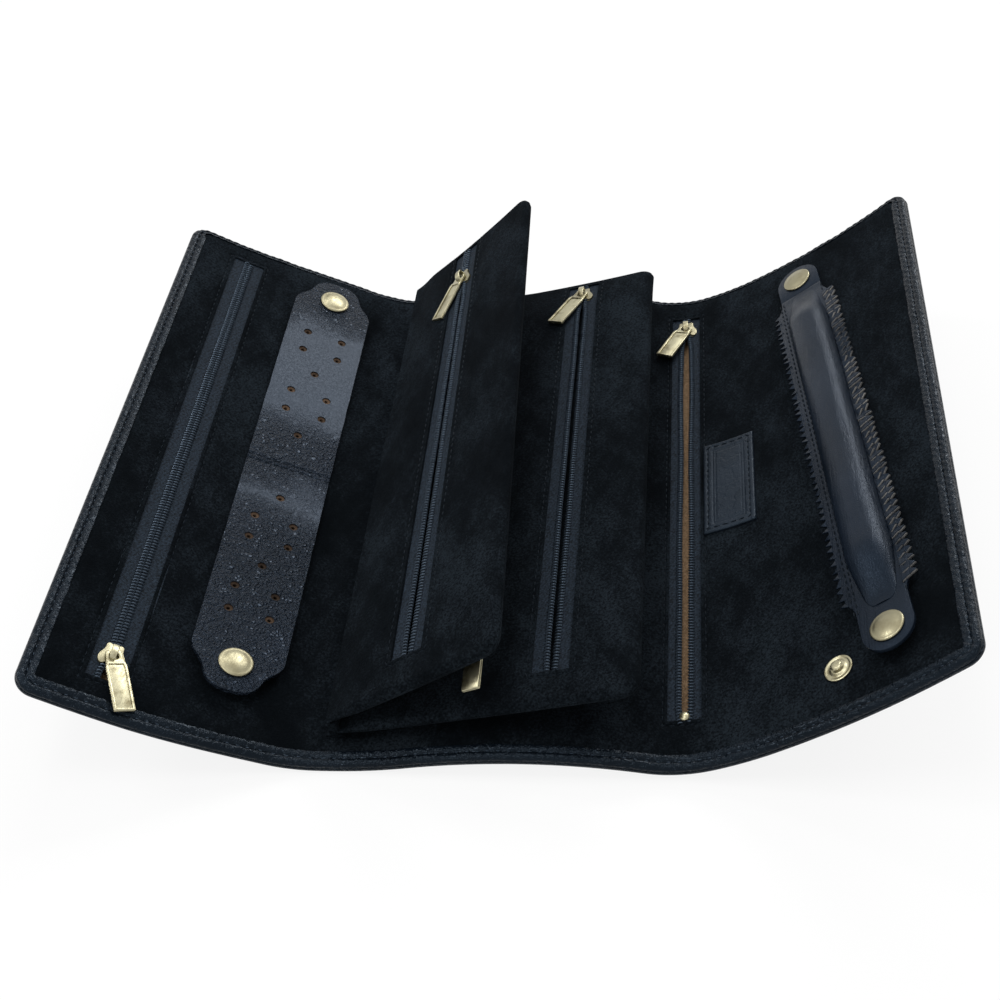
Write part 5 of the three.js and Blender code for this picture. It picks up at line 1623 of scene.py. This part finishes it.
@dataclass(frozen=True)
class Snap:
    """The snap fasteners: domed caps, sockets and studs."""

    cap: float = 5.65 * MM
    dome: float = 1.6 * MM

    def cap_piece(self, name: str, seat: Seat, shank: float) -> Piece:
        """A domed cap with a rolled rim and its shank, standing on the seat."""
        r, foot = self.cap / MM, -shank / MM
        profile = [
            (0.0, foot), (1.4, foot), (1.4, 0.0), (r * 0.93, 0.0), (r * 0.985, 0.1), (r, 0.36),
            (r * 0.985, 0.62), (r * 0.94, 0.78), (r * 0.86, 0.84), (r * 0.8, 0.9), (r * 0.68, 1.14),
            (r * 0.5, 1.38), (r * 0.28, 1.54), (r * 0.1, 1.595), (0.0, self.dome / MM),
        ]
        return lathe(name, profile, seat, Finish.CAP_BRASS, 56)

    def socket_piece(self, name: str, seat: Seat) -> Piece:
        """A socket hanging under the leather, its bore open downwards."""
        profile = [
            (0.0, -0.7), (2.2, -0.7), (2.4, -0.95), (2.4, -2.3), (2.65, -2.4), (3.3, -2.4),
            (3.6, -2.2), (4.2, -1.1), (4.9, -0.75), (5.0, -0.35), (4.9, 0.0), (0.0, 0.0),
        ]
        return lathe(name, profile, seat, Finish.BRASS, 40)

    def stud_piece(self, name: str, seat: Seat) -> Piece:
        """A stud: rolled flange, raised ring and bulbed post."""
        profile = [
            (0.0, 0.0), (4.5, 0.0), (4.72, 0.2), (4.7, 0.42), (4.45, 0.55), (4.1, 0.5), (3.9, 0.32),
            (3.2, 0.3), (2.95, 0.42), (2.5, 0.75), (2.1, 0.86), (1.75, 0.8), (1.45, 0.95), (1.5, 1.2),
            (1.8, 1.45), (1.9, 1.75), (1.7, 2.02), (1.2, 2.17), (0.0, 2.2),
        ]
        return lathe(name, profile, seat, Finish.BRASS, 44)


@dataclass
class EarringStrip:
    """Crinkled leather strip: sewn at its middle, with a punched flap on each side."""

    place: float = 60.9 * MM
    centre: float = 4.5 * MM
    width: float = 30.0 * MM
    thick: float = 1.3 * MM
    seam_half: float = 3.0 * MM
    rise: float = 0.6 * MM
    cap_place: float = 96.0 * MM
    tip: float = 107.4 * MM
    lobe_half: float = 9.6 * MM
    first_row: float = 17.0 * MM
    group_pitch: float = 34.5 * MM
    pair_half: float = 6.8 * MM
    pair_steps: tuple[float, float] = (12.0 * MM, 22.5 * MM)
    hole: float = 1.6 * MM
    seam_row: float = 1.1 * MM
    skin_gap: float = 0.1 * MM
    stud_gap: float = 0.15 * MM
    snap: Snap = field(default_factory=Snap)

    @property
    def tilt(self) -> float:
        """The flaps' tilt in degrees, set by the closed snap under each."""
        stud_flange, socket_gap, socket_height = 0.5 * MM, 0.3 * MM, 2.4 * MM
        rise = 2 * self.stud_gap + stud_flange + socket_gap + socket_height - self.rise
        return math.degrees(math.asin(rise / (self.cap_place - self.seam_half)))

    def build(self, sewing: RowMaker) -> list[Piece]:
        """Builds the seam, both flaps, their snaps and the studs."""
        seat = PROFILE.seat(self.place, self.centre, LINING_TOP)
        made = [self._seam(seat)]
        sewn = sewing.lay("earring_seam_stitches", self._seam_paths(seat), seat.z)
        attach(sewn, "left_flap")
        made.append(sewn)
        for word, turn in (("back", 0.0), ("front", 180.0)):
            made += self._flap(word, seat.turned("z", turn))
        return made

    def _seam(self, seat: Seat) -> Piece:
        """The middle of the strip, drawn down by its two rows of stitches."""
        half = self.width / 2
        lines = np.linspace(-half, half, 25), np.linspace(-self.seam_half, self.seam_half, 17)
        x, y = np.meshgrid(*lines, indexing="ij")
        dip = 0.35 * MM * sum(bell(y - row, 0.55 * MM) for row in (-self.seam_row, self.seam_row))
        top = seat.place(np.stack([x, y, self.rise + self.thick - dip], axis=-1))
        bottom = seat.place(np.stack([x, y, self.rise + 0 * x], axis=-1))
        piece = slab("earring_seam_leather", top, bottom, Finish.CRINKLED)
        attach(piece, "left_flap")
        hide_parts("earring_strip_seam")
        return piece

    def _seam_paths(self, seat: Seat) -> list[np.ndarray]:
        """The two stitched rows across the strip's middle."""
        half = self.width / 2 - 0.8 * MM
        x = np.linspace(-half, half, 30)
        height = self.rise + self.thick - 0.3 * MM
        rows = (-self.seam_row, self.seam_row)
        return [seat.place(np.stack([x, 0 * x + row, 0 * x + height], axis=-1)) for row in rows]

    def _outline(self) -> np.ndarray:
        """Half of the strip from its seam outwards: straight sides, soft shoulders, then a lobe."""
        half, lobe, cap = self.width / 2 / MM, self.lobe_half / MM, self.cap_place / MM
        sides = [(half * MM, y) for y in np.arange(self.seam_half, self.cap_place - 7.5 * MM, 1.5 * MM)]
        corners = [
            (half, cap - 7.0), (half, cap - 3.8), (half - 1.5, cap - 1.0), (lobe + 1.9, cap + 1.2),
            (lobe + 0.1, cap + 3.8), (lobe - 0.9, cap + 7.4), (lobe - 4.0, cap + 10.8), (0.0, self.tip / MM),
        ]
        right = np.concatenate([sides, Hardware.rounded(np.array(corners) * MM, 3, closed=False)])
        right[:, 0] += 0.14 * MM * rolling(right[:, 1], 0 * right[:, 1], 7 * MM, 5.0)
        right[-1, 0] = 0.0
        right[:, 1] -= self.seam_half
        return np.concatenate([right, (right * [-1, 1])[::-1][1:]])

    def _flap(self, word: str, seat: Seat) -> list[Piece]:
        """One flap with its holes, cap, socket and stud."""
        hinge = seat.moved(y=self.seam_half, z=self.rise + self.thick).turned("x", self.tilt)
        outline = self._outline()
        holes = [self._ring(x, y - self.seam_half, self.hole) for x, y in self.hole_places()]
        name = f"earring_flap_{word}"
        piece = outline_solid(f"{name}_leather", outline, -self.thick, 0.0, hinge, Finish.CRINKLED, holes)
        soften(piece, 0.3 * MM, segments=3)
        for face in piece.data.polygons:
            face.use_smooth = abs(float(np.array(face.normal) @ hinge.z)) < 0.999
        body = f"earring_{word}"
        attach(piece, body)
        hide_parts(name)
        rings = [self._rim(word, index, hinge, place) for index, place in enumerate(self.hole_places())]
        rims = join(f"{name}_hole_rims", rings)
        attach(rims, body)
        reach, gap, tilt = self.cap_place - self.seam_half, self.skin_gap, math.radians(self.tilt)
        at = hinge.moved(y=reach)
        cap = self.snap.cap_piece(f"{name}_cap_brass", at.moved(z=gap), self.thick + gap)
        socket = self.snap.socket_piece(f"{name}_socket_brass", at.moved(z=-self.thick - gap))
        stud_reach = self.seam_half + reach * math.cos(tilt) + self.thick * math.sin(tilt)
        stud = self.snap.stud_piece(f"earring_stud_{word}_brass", seat.moved(y=stud_reach, z=self.stud_gap))
        homes = (
            (cap, body, f"{name}_cap"),
            (socket, body, f"{name}_socket"),
            (stud, "left_flap", f"earring_stud_{word}"),
        )
        for item, home, node in homes:
            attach(item, home)
            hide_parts(node)
        return [piece, rims, cap, socket, stud]

    def hole_places(self) -> list[tuple[float, float]]:
        """The ten holes of a flap, as (x, distance from the strip's middle)."""
        places = []
        for group in range(2):
            first = self.first_row + group * self.group_pitch
            places.append((0.0, first))
            for step in self.pair_steps:
                places += [(-self.pair_half, first + step), (self.pair_half, first + step)]
        return places

    @staticmethod
    def _ring(x: float, y: float, radius: float, steps: int = 14) -> np.ndarray:
        """A round hole's outline."""
        turns = np.linspace(0, -2 * math.pi, steps, endpoint=False)
        return np.stack([x + radius * np.cos(turns), y + radius * np.sin(turns)], axis=-1)

    def _rim(self, word: str, index: int, hinge: Seat, place: tuple[float, float]) -> Piece:
        """The raw tan edge inside one punched hole."""
        x, y = place[0], place[1] - self.seam_half
        outer, inner, low = self.hole - 0.02 * MM, self.hole - 0.95 * MM, -self.thick + 0.1 * MM
        profile = ((outer, low), (outer, -0.42 * MM), (inner, -0.55 * MM), (inner, low))
        rings = []
        for turn in np.linspace(0, 2 * math.pi, 16, endpoint=False):
            ring = [(x + r * math.cos(turn), y + r * math.sin(turn), height) for r, height in profile]
            rings.append(hinge.place(np.array(ring)))
        return swept(f"earring_{word}_rim_{index}", np.array(rings), Finish.HOLE_EDGE, closed=True)


@dataclass
class RingBar:
    """The padded ring bar: tab on its rivet, pinked base, sewn roll and snap."""

    place: float = 257.4 * MM
    rivet_y: float = 101.5 * MM
    reach: float = 201.0 * MM
    swing: float = 6.5
    closed: float = 0.7
    lift: float = 1.6
    rise: float = 0.45 * MM
    leather: float = 1.2 * MM
    lobe: float = 8.6 * MM
    fold: float = 8.6 * MM
    base_half: float = 11.2 * MM
    flare_start: float = 11.0 * MM
    flare_end: float = 19.0 * MM
    tooth_pitch: float = 3.3 * MM
    roll_half: float = 7.6 * MM
    roll_side: float = 0.5 * MM
    roll_taper: float = 24 * MM
    roll_height: float = 6.2 * MM
    roll_start: float = 10.4 * MM
    stitch_sides: tuple[float, ...] = (-9.2 * MM, -7.9 * MM, 8.6 * MM)
    skin_gap: float = 0.1 * MM
    stud_gap: float = 0.15 * MM
    snap: Snap = field(default_factory=Snap)

    def seats(self) -> tuple[Seat, Seat]:
        """The tab's seat at the rivet and the bar's seat at the fold."""
        tab = PROFILE.seat(self.place, self.rivet_y, LINING_TOP).moved(z=self.rise).turned("z", self.swing)
        bar = tab.moved(y=-self.fold, z=self.leather).turned("x", -self.lift)
        return tab, bar

    def half_width(self, distance: np.ndarray) -> np.ndarray:
        """Half the base's width at a distance from the rivet."""
        from_end = np.minimum(distance, self.reach - distance)
        flare = eased(share(from_end, self.flare_start, self.flare_end))
        waist = self.lobe + (self.base_half - self.lobe) * flare
        lobe_part = np.sqrt(self.lobe**2 - np.clip(-from_end, 0, self.lobe) ** 2)
        return np.where(from_end < 0, lobe_part, waist)

    def build(self, sewing: RowMaker) -> list[Piece]:
        """Builds the tab, the base with its teeth, the roll and the metal."""
        tab_seat, bar = self.seats()
        flat = PROFILE.seat(self.place, self.rivet_y, LINING_TOP)
        tab, base, roll, teeth = self._tab(tab_seat), self._base(bar), self._roll(bar), self._teeth(bar)
        sewn = sewing.lay("ring_bar_stitches", self._stitch_paths(bar), bar.z)
        for piece in (base, roll, *teeth, sewn):
            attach(piece, "ring_bar")
        gap, thick, end = self.skin_gap, self.leather, self.fold - self.reach
        stud_seat = flat.turned("z", self.closed).moved(y=-self.reach, z=self.stud_gap)
        cap = self.snap.cap_piece("ring_bar_snap_brass", bar.moved(y=end, z=gap), thick + gap)
        socket = self.snap.socket_piece("ring_bar_socket_brass", bar.moved(y=end, z=-thick - gap))
        on_tab = flat.moved(z=self.rise + thick + gap)
        rivet = self.snap.cap_piece("ring_bar_rivet_brass", on_tab, thick + gap)
        stud = self.snap.stud_piece("ring_bar_stud_brass", stud_seat)
        homes = (
            (cap, "ring_bar", "ring_bar_snap_cap"),
            (socket, "ring_bar", "ring_bar_socket"),
            (rivet, "right_flap", "ring_bar_rivet"),
            (stud, "right_flap", "ring_bar_stud"),
        )
        for item, home, node in homes:
            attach(item, home)
            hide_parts(node)
        return [tab, base, roll, *teeth, sewn, cap, socket, rivet, stud]

    def _tab(self, seat: Seat) -> Piece:
        """The lobe of leather round the rivet, up to the fold."""
        angles = np.linspace(0, math.pi, 22)
        arc = np.stack([self.lobe * np.cos(angles), self.lobe * np.sin(angles)], axis=-1)
        root = -self.fold + 0.1 * MM
        outline = np.concatenate([arc, [(-self.lobe, root), (self.lobe, root)]])
        tab = outline_solid("ring_bar_tab_leather", outline, 0.0, self.leather, seat, Finish.SMOOTH)
        soften(tab, 0.3 * MM, segments=3)
        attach(tab, "ring_bar_swivel")
        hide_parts("ring_bar_tab")
        return tab

    def _base(self, bar: Seat) -> Piece:
        """The flat base strip, without its teeth."""
        round_end = self.lobe * np.sin(np.linspace(0.08, math.pi / 2, 14))
        distance = np.concatenate([np.linspace(self.fold, self.reach, 150), self.reach + round_end])
        right = np.stack([self.half_width(distance), self.fold - distance], axis=-1)
        outline = np.concatenate([right, (right * [-1, 1])[::-1][1:]])[::-1]
        base = outline_solid("ring_bar_base_leather", outline, -self.leather, 0.0, bar, Finish.SMOOTH)
        soften(base, 0.25 * MM)
        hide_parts("ring_bar_base")
        return base

    def _teeth(self, bar: Seat) -> list[Piece]:
        """The pinked teeth along both sides, and the paler second layer under the right side."""
        shape = np.array([(-1.65, -0.7), (1.65, -0.7), (0.45, 2.1)]) * MM
        axes = np.eye(3)
        flat = Seat(np.zeros(3), axes[1], axes[0], -axes[2])
        start, end = self.flare_end - 2 * MM, self.reach - self.flare_end + 2 * MM
        y = self.fold - np.arange(start, end, 1.4 * MM)
        x = self.half_width(self.fold - y)
        layers = (
            ("upper", Finish.SMOOTH, (1, -1), 0.0, -0.4 * MM, 0.0),
            ("upper_edge", Finish.RAW_EDGE, (1,), 0.15 * MM, -0.6 * MM, 0.5 * MM),
            ("top", Finish.SMOOTH, (1,), -2.1 * MM, 0.2 * MM, 1.65 * MM),
            ("top_edge", Finish.RAW_EDGE, (1,), -1.95 * MM, 0.02 * MM, 2.15 * MM),
        )
        made = []
        for word, finish, sides, out, height, shift in layers:
            tooth = soften(outline_solid("pinked_tooth", shape, -0.3 * MM, 0.3 * MM, flat, finish), 0.1 * MM)
            maker = RowMaker(f"{word}_tooth", finish, self.tooth_pitch, (1.0, 1.0, 1.0), 0.25, tooth)
            paths = []
            for side in sides:
                line = bar.place(np.stack([side * (x + out), y - shift, 0 * y + height], axis=-1))
                paths.append(line[::-1] if side > 0 else line)
            made.append(maker.lay(f"ring_bar_{word}_teeth", paths, bar.z, 11))
            bpy.data.objects.remove(tooth)
        return made

    def _roll(self, bar: Seat) -> Piece:
        """The padded roll, rounded at its ends and creased along its length."""
        near, far = self.roll_start, self.reach - self.roll_start
        angles = np.linspace(0, math.pi, 25)
        rings = []
        for d in (near + far) / 2 + (far - near) / 2 * np.sin(np.linspace(-math.pi / 2, math.pi / 2, 150)):
            from_end = min(d - near, far - d)
            taper = eased(min(from_end / self.roll_taper, 1.0))
            blunt = math.sqrt(max(1 - (1 - min(from_end / (6 * MM), 1.0)) ** 2, 0.0))
            wander = noise.noise(Vector((d / (38 * MM), 2.0, 0.0)))
            swell = noise.noise(Vector((d / (30 * MM), 7.0, 0.0)))
            wide = self.roll_half * (0.3 + 0.4 * blunt + 0.3 * taper) * (1 + 0.05 * wander)
            tall = self.roll_height * (0.03 + 0.97 * taper) * (1 + 0.07 * swell)
            top = []
            for angle in angles:
                cosine = math.cos(angle)
                x = wide * math.copysign(abs(cosine) ** 0.8, cosine)
                long_fold = noise.noise(Vector((x / (3.4 * MM), d / (85 * MM), 1.0)))
                fine_fold = noise.noise(Vector((x / (1.6 * MM), d / (60 * MM), 4.0)))
                crease = 0.35 * MM * (0.3 - abs(long_fold)) + 0.15 * MM * fine_fold
                z = tall * math.sin(angle) ** (0.95 + 0.3 * cosine) + crease * math.sin(angle) * taper
                top.append((x + self.roll_side, self.fold - d, 0.1 * MM + max(z, 0.0)))
            rings.append(bar.place(np.array(top)))
        roll = outwards(swept("ring_bar_roll_leather", np.array(rings), Finish.SMOOTH))
        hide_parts("ring_bar_roll")
        return roll

    def _stitch_paths(self, bar: Seat) -> list[np.ndarray]:
        """The sewn lines on both sides of the roll."""
        near = self.roll_start + 1 * MM
        d = np.linspace(near, self.reach - near, 130)
        y, z = self.fold - d, 0 * d + 0.05 * MM
        return [bar.place(np.stack([0 * d + side, y, z], axis=-1)) for side in self.stitch_sides]


@dataclass
class LabelPatch:
    """The sewn leather patch on the right side, with a bare framed field."""

    start: float = 214.2 * MM
    width: float = 20.0 * MM
    front: float = -20.0 * MM
    length: float = 46.0 * MM
    thick: float = 1.1 * MM

    def height(self, s: np.ndarray, y: np.ndarray) -> np.ndarray:
        """The patch's top face above the cover's outer face."""
        from_side = np.minimum(s - self.start, self.start + self.width - s)
        from_edge = np.minimum(from_side, np.minimum(y - self.front, self.front + self.length - y))
        roll = np.sqrt(1 - (1 - share(from_edge, 0.0, 0.8 * MM)) ** 2)
        height = LINING_TOP + 0.25 * MM + (self.thick - 0.1 * MM) * (0.55 + 0.45 * roll)
        for place, depth in ((1.9 * MM, 0.16 * MM), (3.9 * MM, 0.22 * MM), (4.9 * MM, 0.16 * MM)):
            height = height - depth * bell(from_edge - place, 0.3 * MM)
        return height

    def build(self, sewing: RowMaker) -> list[Piece]:
        """Builds the patch and its stitches."""
        across = np.linspace(self.start, self.start + self.width, 70)
        along = np.linspace(self.front, self.front + self.length, 150)
        s, y = np.meshgrid(across, along, indexing="ij")
        top, bottom = PROFILE.place(s, y, self.height(s, y)), PROFILE.place(s, y, LINING_TOP + 0.1 * MM)
        patch = slab("label_patch_leather", top, bottom, Finish.PATCH)
        inset = 1.9 * MM
        a, b = across[0] + inset, across[-1] - inset
        c, d = along[0] + inset, along[-1] - inset
        corners = [(a, c), (b, c), (b, d), (a, d), (a, c)]
        path = path_on_cover(corners, lambda u, v: self.height(u, v) + 0.12 * MM)
        seat = PROFILE.seat(self.start + self.width / 2, 0.0, LINING_TOP)
        sewn = sewing.lay("label_patch_stitches", [path], seat.z)
        for piece in (patch, sewn):
            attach(piece, "right_spine")
        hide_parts("label_patch")
        return [patch, sewn]


@dataclass
class Pockets:
    """The two zip pockets of the cover: their zips, cloth bags and sewn rectangles."""

    cover: Cover
    tape_height: float = 3.0 * MM

    def build(self, coil: RowMaker, coil_sewing: RowMaker, sewing: RowMaker) -> list[Piece]:
        """Builds both zips with their bags and stitched rectangles."""
        left = PROFILE.seat(self.cover.left.middle, 0.0, self.tape_height)
        right = PROFILE.seat(self.cover.right.middle, 0.0, self.tape_height)
        left_bodies = ("left_flap", "left_slider", "left_pull")
        right_bodies = ("right_spine", "right_slider", "right_pull")
        zips = [
            Zip("left_zip", left, -111.8 * MM, 113 * MM, -99.8 * MM, 24, 0.4, left_bodies, ZipState.CLOSED),
            Zip("right_zip", right, -104.5 * MM, 110 * MM, 100 * MM, -23, -5, right_bodies, ZipState.OPEN),
        ]
        made = []
        for item in zips:
            made += item.build(coil, coil_sewing)
        back = 113 * MM
        made.append(self._bag("left_pocket_bag", 7.5 * MM, 68.9 * MM, -112.3 * MM, back, "left_flap"))
        made.append(self._bag("right_pocket_bag", 196.4 * MM, 232.4 * MM, -107.5 * MM, back, "right_spine"))
        made.append(self._rectangle("left_zip_rectangle", self.cover.left, "left_flap", sewing))
        made.append(self._rectangle("right_zip_rectangle", self.cover.right, "right_spine", sewing))
        made.append(self._stop(right))
        return made

    def _bag(self, node: str, s0: float, s1: float, y0: float, y1: float, body: str) -> Piece:
        """A pocket's cloth, lightly rumpled."""
        s, y = np.meshgrid(grid_lines(s0, s1, 1.2 * MM), grid_lines(y0, y1, 3 * MM), indexing="ij")
        fold = 0.1 * MM * rolling(s, y, 9 * MM, 12.0)
        top, bottom = PROFILE.place(s, y, 1.2 * MM + fold), PROFILE.place(s, y, 0.88 * MM)
        bag = slab(f"{node}_cloth", top, bottom, Finish.POCKET)
        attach(bag, body)
        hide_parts(node)
        return bag

    def _rectangle(self, name: str, window: Window, body: str, sewing: RowMaker) -> Piece:
        """The stitched rectangle round a zip window."""
        a, b, low, high = window.stitched()
        corners = [(a, low), (b, low), (b, high), (a, high), (a, low)]
        path = path_on_cover(corners, lambda s, y: self.cover.lining_height(s, y) + 0.04 * MM)
        seat = PROFILE.seat(window.middle, 0.0, LINING_TOP)
        piece = sewing.lay(name, [path], seat.z)
        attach(piece, body)
        return piece

    def _stop(self, seat: Seat) -> Piece:
        """The small metal stop at the front end of the right zip."""
        profile = [(0.0, 0.0), (1.6, 0.0), (1.75, 0.5), (1.5, 1.1), (0.8, 1.45), (0.0, 1.5)]
        foot = seat.moved(y=-99.5 * MM, z=0.8 * MM)
        stop = lathe("right_zip_stop_brass", profile, foot, Finish.BRASS, 28)
        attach(stop, "right_spine")
        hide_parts("right_zip_stop")
        return stop


# ---- studio


@dataclass
class Studio:
    """The pale floor, the soft light and the camera at the photograph's viewpoint."""

    lens: float = 59.73
    shift_x: float = -0.0835
    location: Triple = (0.0529, -0.4337, 0.3976)
    turn: Triple = (47.9, 2.42, 1.0)
    world_light: float = 0.52

    def build(self) -> None:
        """Builds the floor, the lamps, the world and the camera."""
        self._camera()
        self._floor()
        self._world()
        self._lamp("back", (0.50, 1.15, 0.90), (0.7, 0.4), 9.0)
        self._lamp("front", (-0.30, -0.95, 0.80), (0.16, 0.10), 1.6)
        self._lamp("top", (-0.20, -0.15, 1.45), (0.5, 0.5), 5.0)
        self._lamp("sheen", (-0.05, 0.80, 1.20), (0.4, 0.12), 2.2)
        self._lamp("left", (-1.0, 0.15, 0.95), (0.2, 0.3), 4.0)

    def _camera(self) -> None:
        """The camera, aimed as the photograph was taken."""
        data = bpy.data.cameras.new("camera")
        data.lens = self.lens
        data.sensor_width = 36.0
        data.sensor_fit = "HORIZONTAL"
        data.shift_x = self.shift_x
        data.clip_start = 0.01
        camera = linked("camera", data)
        camera.location = self.location
        camera.rotation_mode = "YXZ"
        camera.rotation_euler = tuple(math.radians(v) for v in self.turn)
        bpy.context.scene.camera = camera

    def _lamp(self, name: str, place: Triple, size: tuple[float, float], power: float) -> None:
        """A soft rectangular lamp that faces the case."""
        data = bpy.data.lights.new(name, "AREA")
        data.shape = "RECTANGLE"
        data.size, data.size_y = size
        data.energy = power
        lamp = linked(name, data)
        lamp.location = place
        lamp.rotation_euler = Vector(place).to_track_quat("Z", "Y").to_euler()

    def _floor(self) -> None:
        """A wide pale floor just under the case."""
        size, depth = 6.0, 0.2 * MM
        data = bpy.data.meshes.new("floor")
        corners = [(-size, -size), (size, -size), (size, size), (-size, size)]
        data.from_pydata([(x, y, -depth) for x, y in corners], [], [(0, 1, 2, 3)])
        floor = linked("floor", data)
        sheet = ShaderSheet("pale_floor")
        sheet.finish(Base_Color=(0.9, 0.9, 0.9, 1.0), Roughness=0.8, Specular_IOR_Level=0.1)
        glow = sheet.node("ShaderNodeEmission", {"Color": (1.0, 1.0, 1.0, 1.0), "Strength": 1.0}).outputs[0]
        shown = sheet.math("MULTIPLY", sheet.seen(), 0.86)
        mix = sheet.node("ShaderNodeMixShader", {0: shown, 1: sheet.principled.outputs[0], 2: glow})
        sheet.feed(sheet.tree.nodes["Material Output"].inputs["Surface"], mix.outputs[0])
        data.materials.append(sheet.material)

    def _world(self) -> None:
        """Soft even light from all round, seen as white."""
        world = bpy.data.worlds.new("studio")
        bpy.context.scene.world = world
        world.use_nodes = True
        sheet = NodeSheet(world.node_tree)
        background = sheet.tree.nodes["Background"]
        sheet.feed(background.inputs["Strength"], sheet.span(sheet.seen(), 0.0, 1.0, self.world_light, 1.0))
        sheet.feed(background.inputs["Color"], (1.0, 1.0, 1.0, 1.0))


def dress_boards() -> None:
    """Gives the hidden boards their finish."""
    for name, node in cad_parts.items():
        if name.startswith("board_"):
            node.data.materials.clear()
            node.data.materials.append(Finish.BOARD.material)


def main() -> None:
    """Builds the whole scene, piece by piece."""
    logging.basicConfig(level=logging.INFO, format="%(name)s: %(message)s")
    bpy.context.scene.view_settings.view_transform = "Standard"
    template = coil_turn()
    coil = RowMaker("coil", Finish.COIL, 1.27 * MM, (1.0, 1.0, 1.0), 0.0, template)
    coil_sewing = stitches(pitch=1.27 * MM, length=1.0 * MM, thick=0.4 * MM)
    sewing = stitches(pitch=3.0 * MM, length=2.1 * MM, thick=0.5 * MM)
    cover = Cover()
    assemblies: list[tuple[str, Callable[[], list[Piece]]]] = [
        ("cover", cover.build),
        ("pockets", lambda: Pockets(cover).build(coil, coil_sewing, sewing)),
        ("pages", lambda: PageBlock().build(coil, coil_sewing, sewing)),
        ("earring strip", lambda: EarringStrip().build(sewing)),
        ("ring bar", lambda: RingBar().build(sewing)),
        ("label patch", lambda: LabelPatch().build(sewing)),
    ]
    for name, build in assemblies:
        for piece in build():
            LOG.info("%s: %s, %d faces", name, piece.name, len(piece.data.polygons))
    bpy.data.objects.remove(template)
    dress_boards()
    Studio().build()


if __name__ == "__main__":
    main()
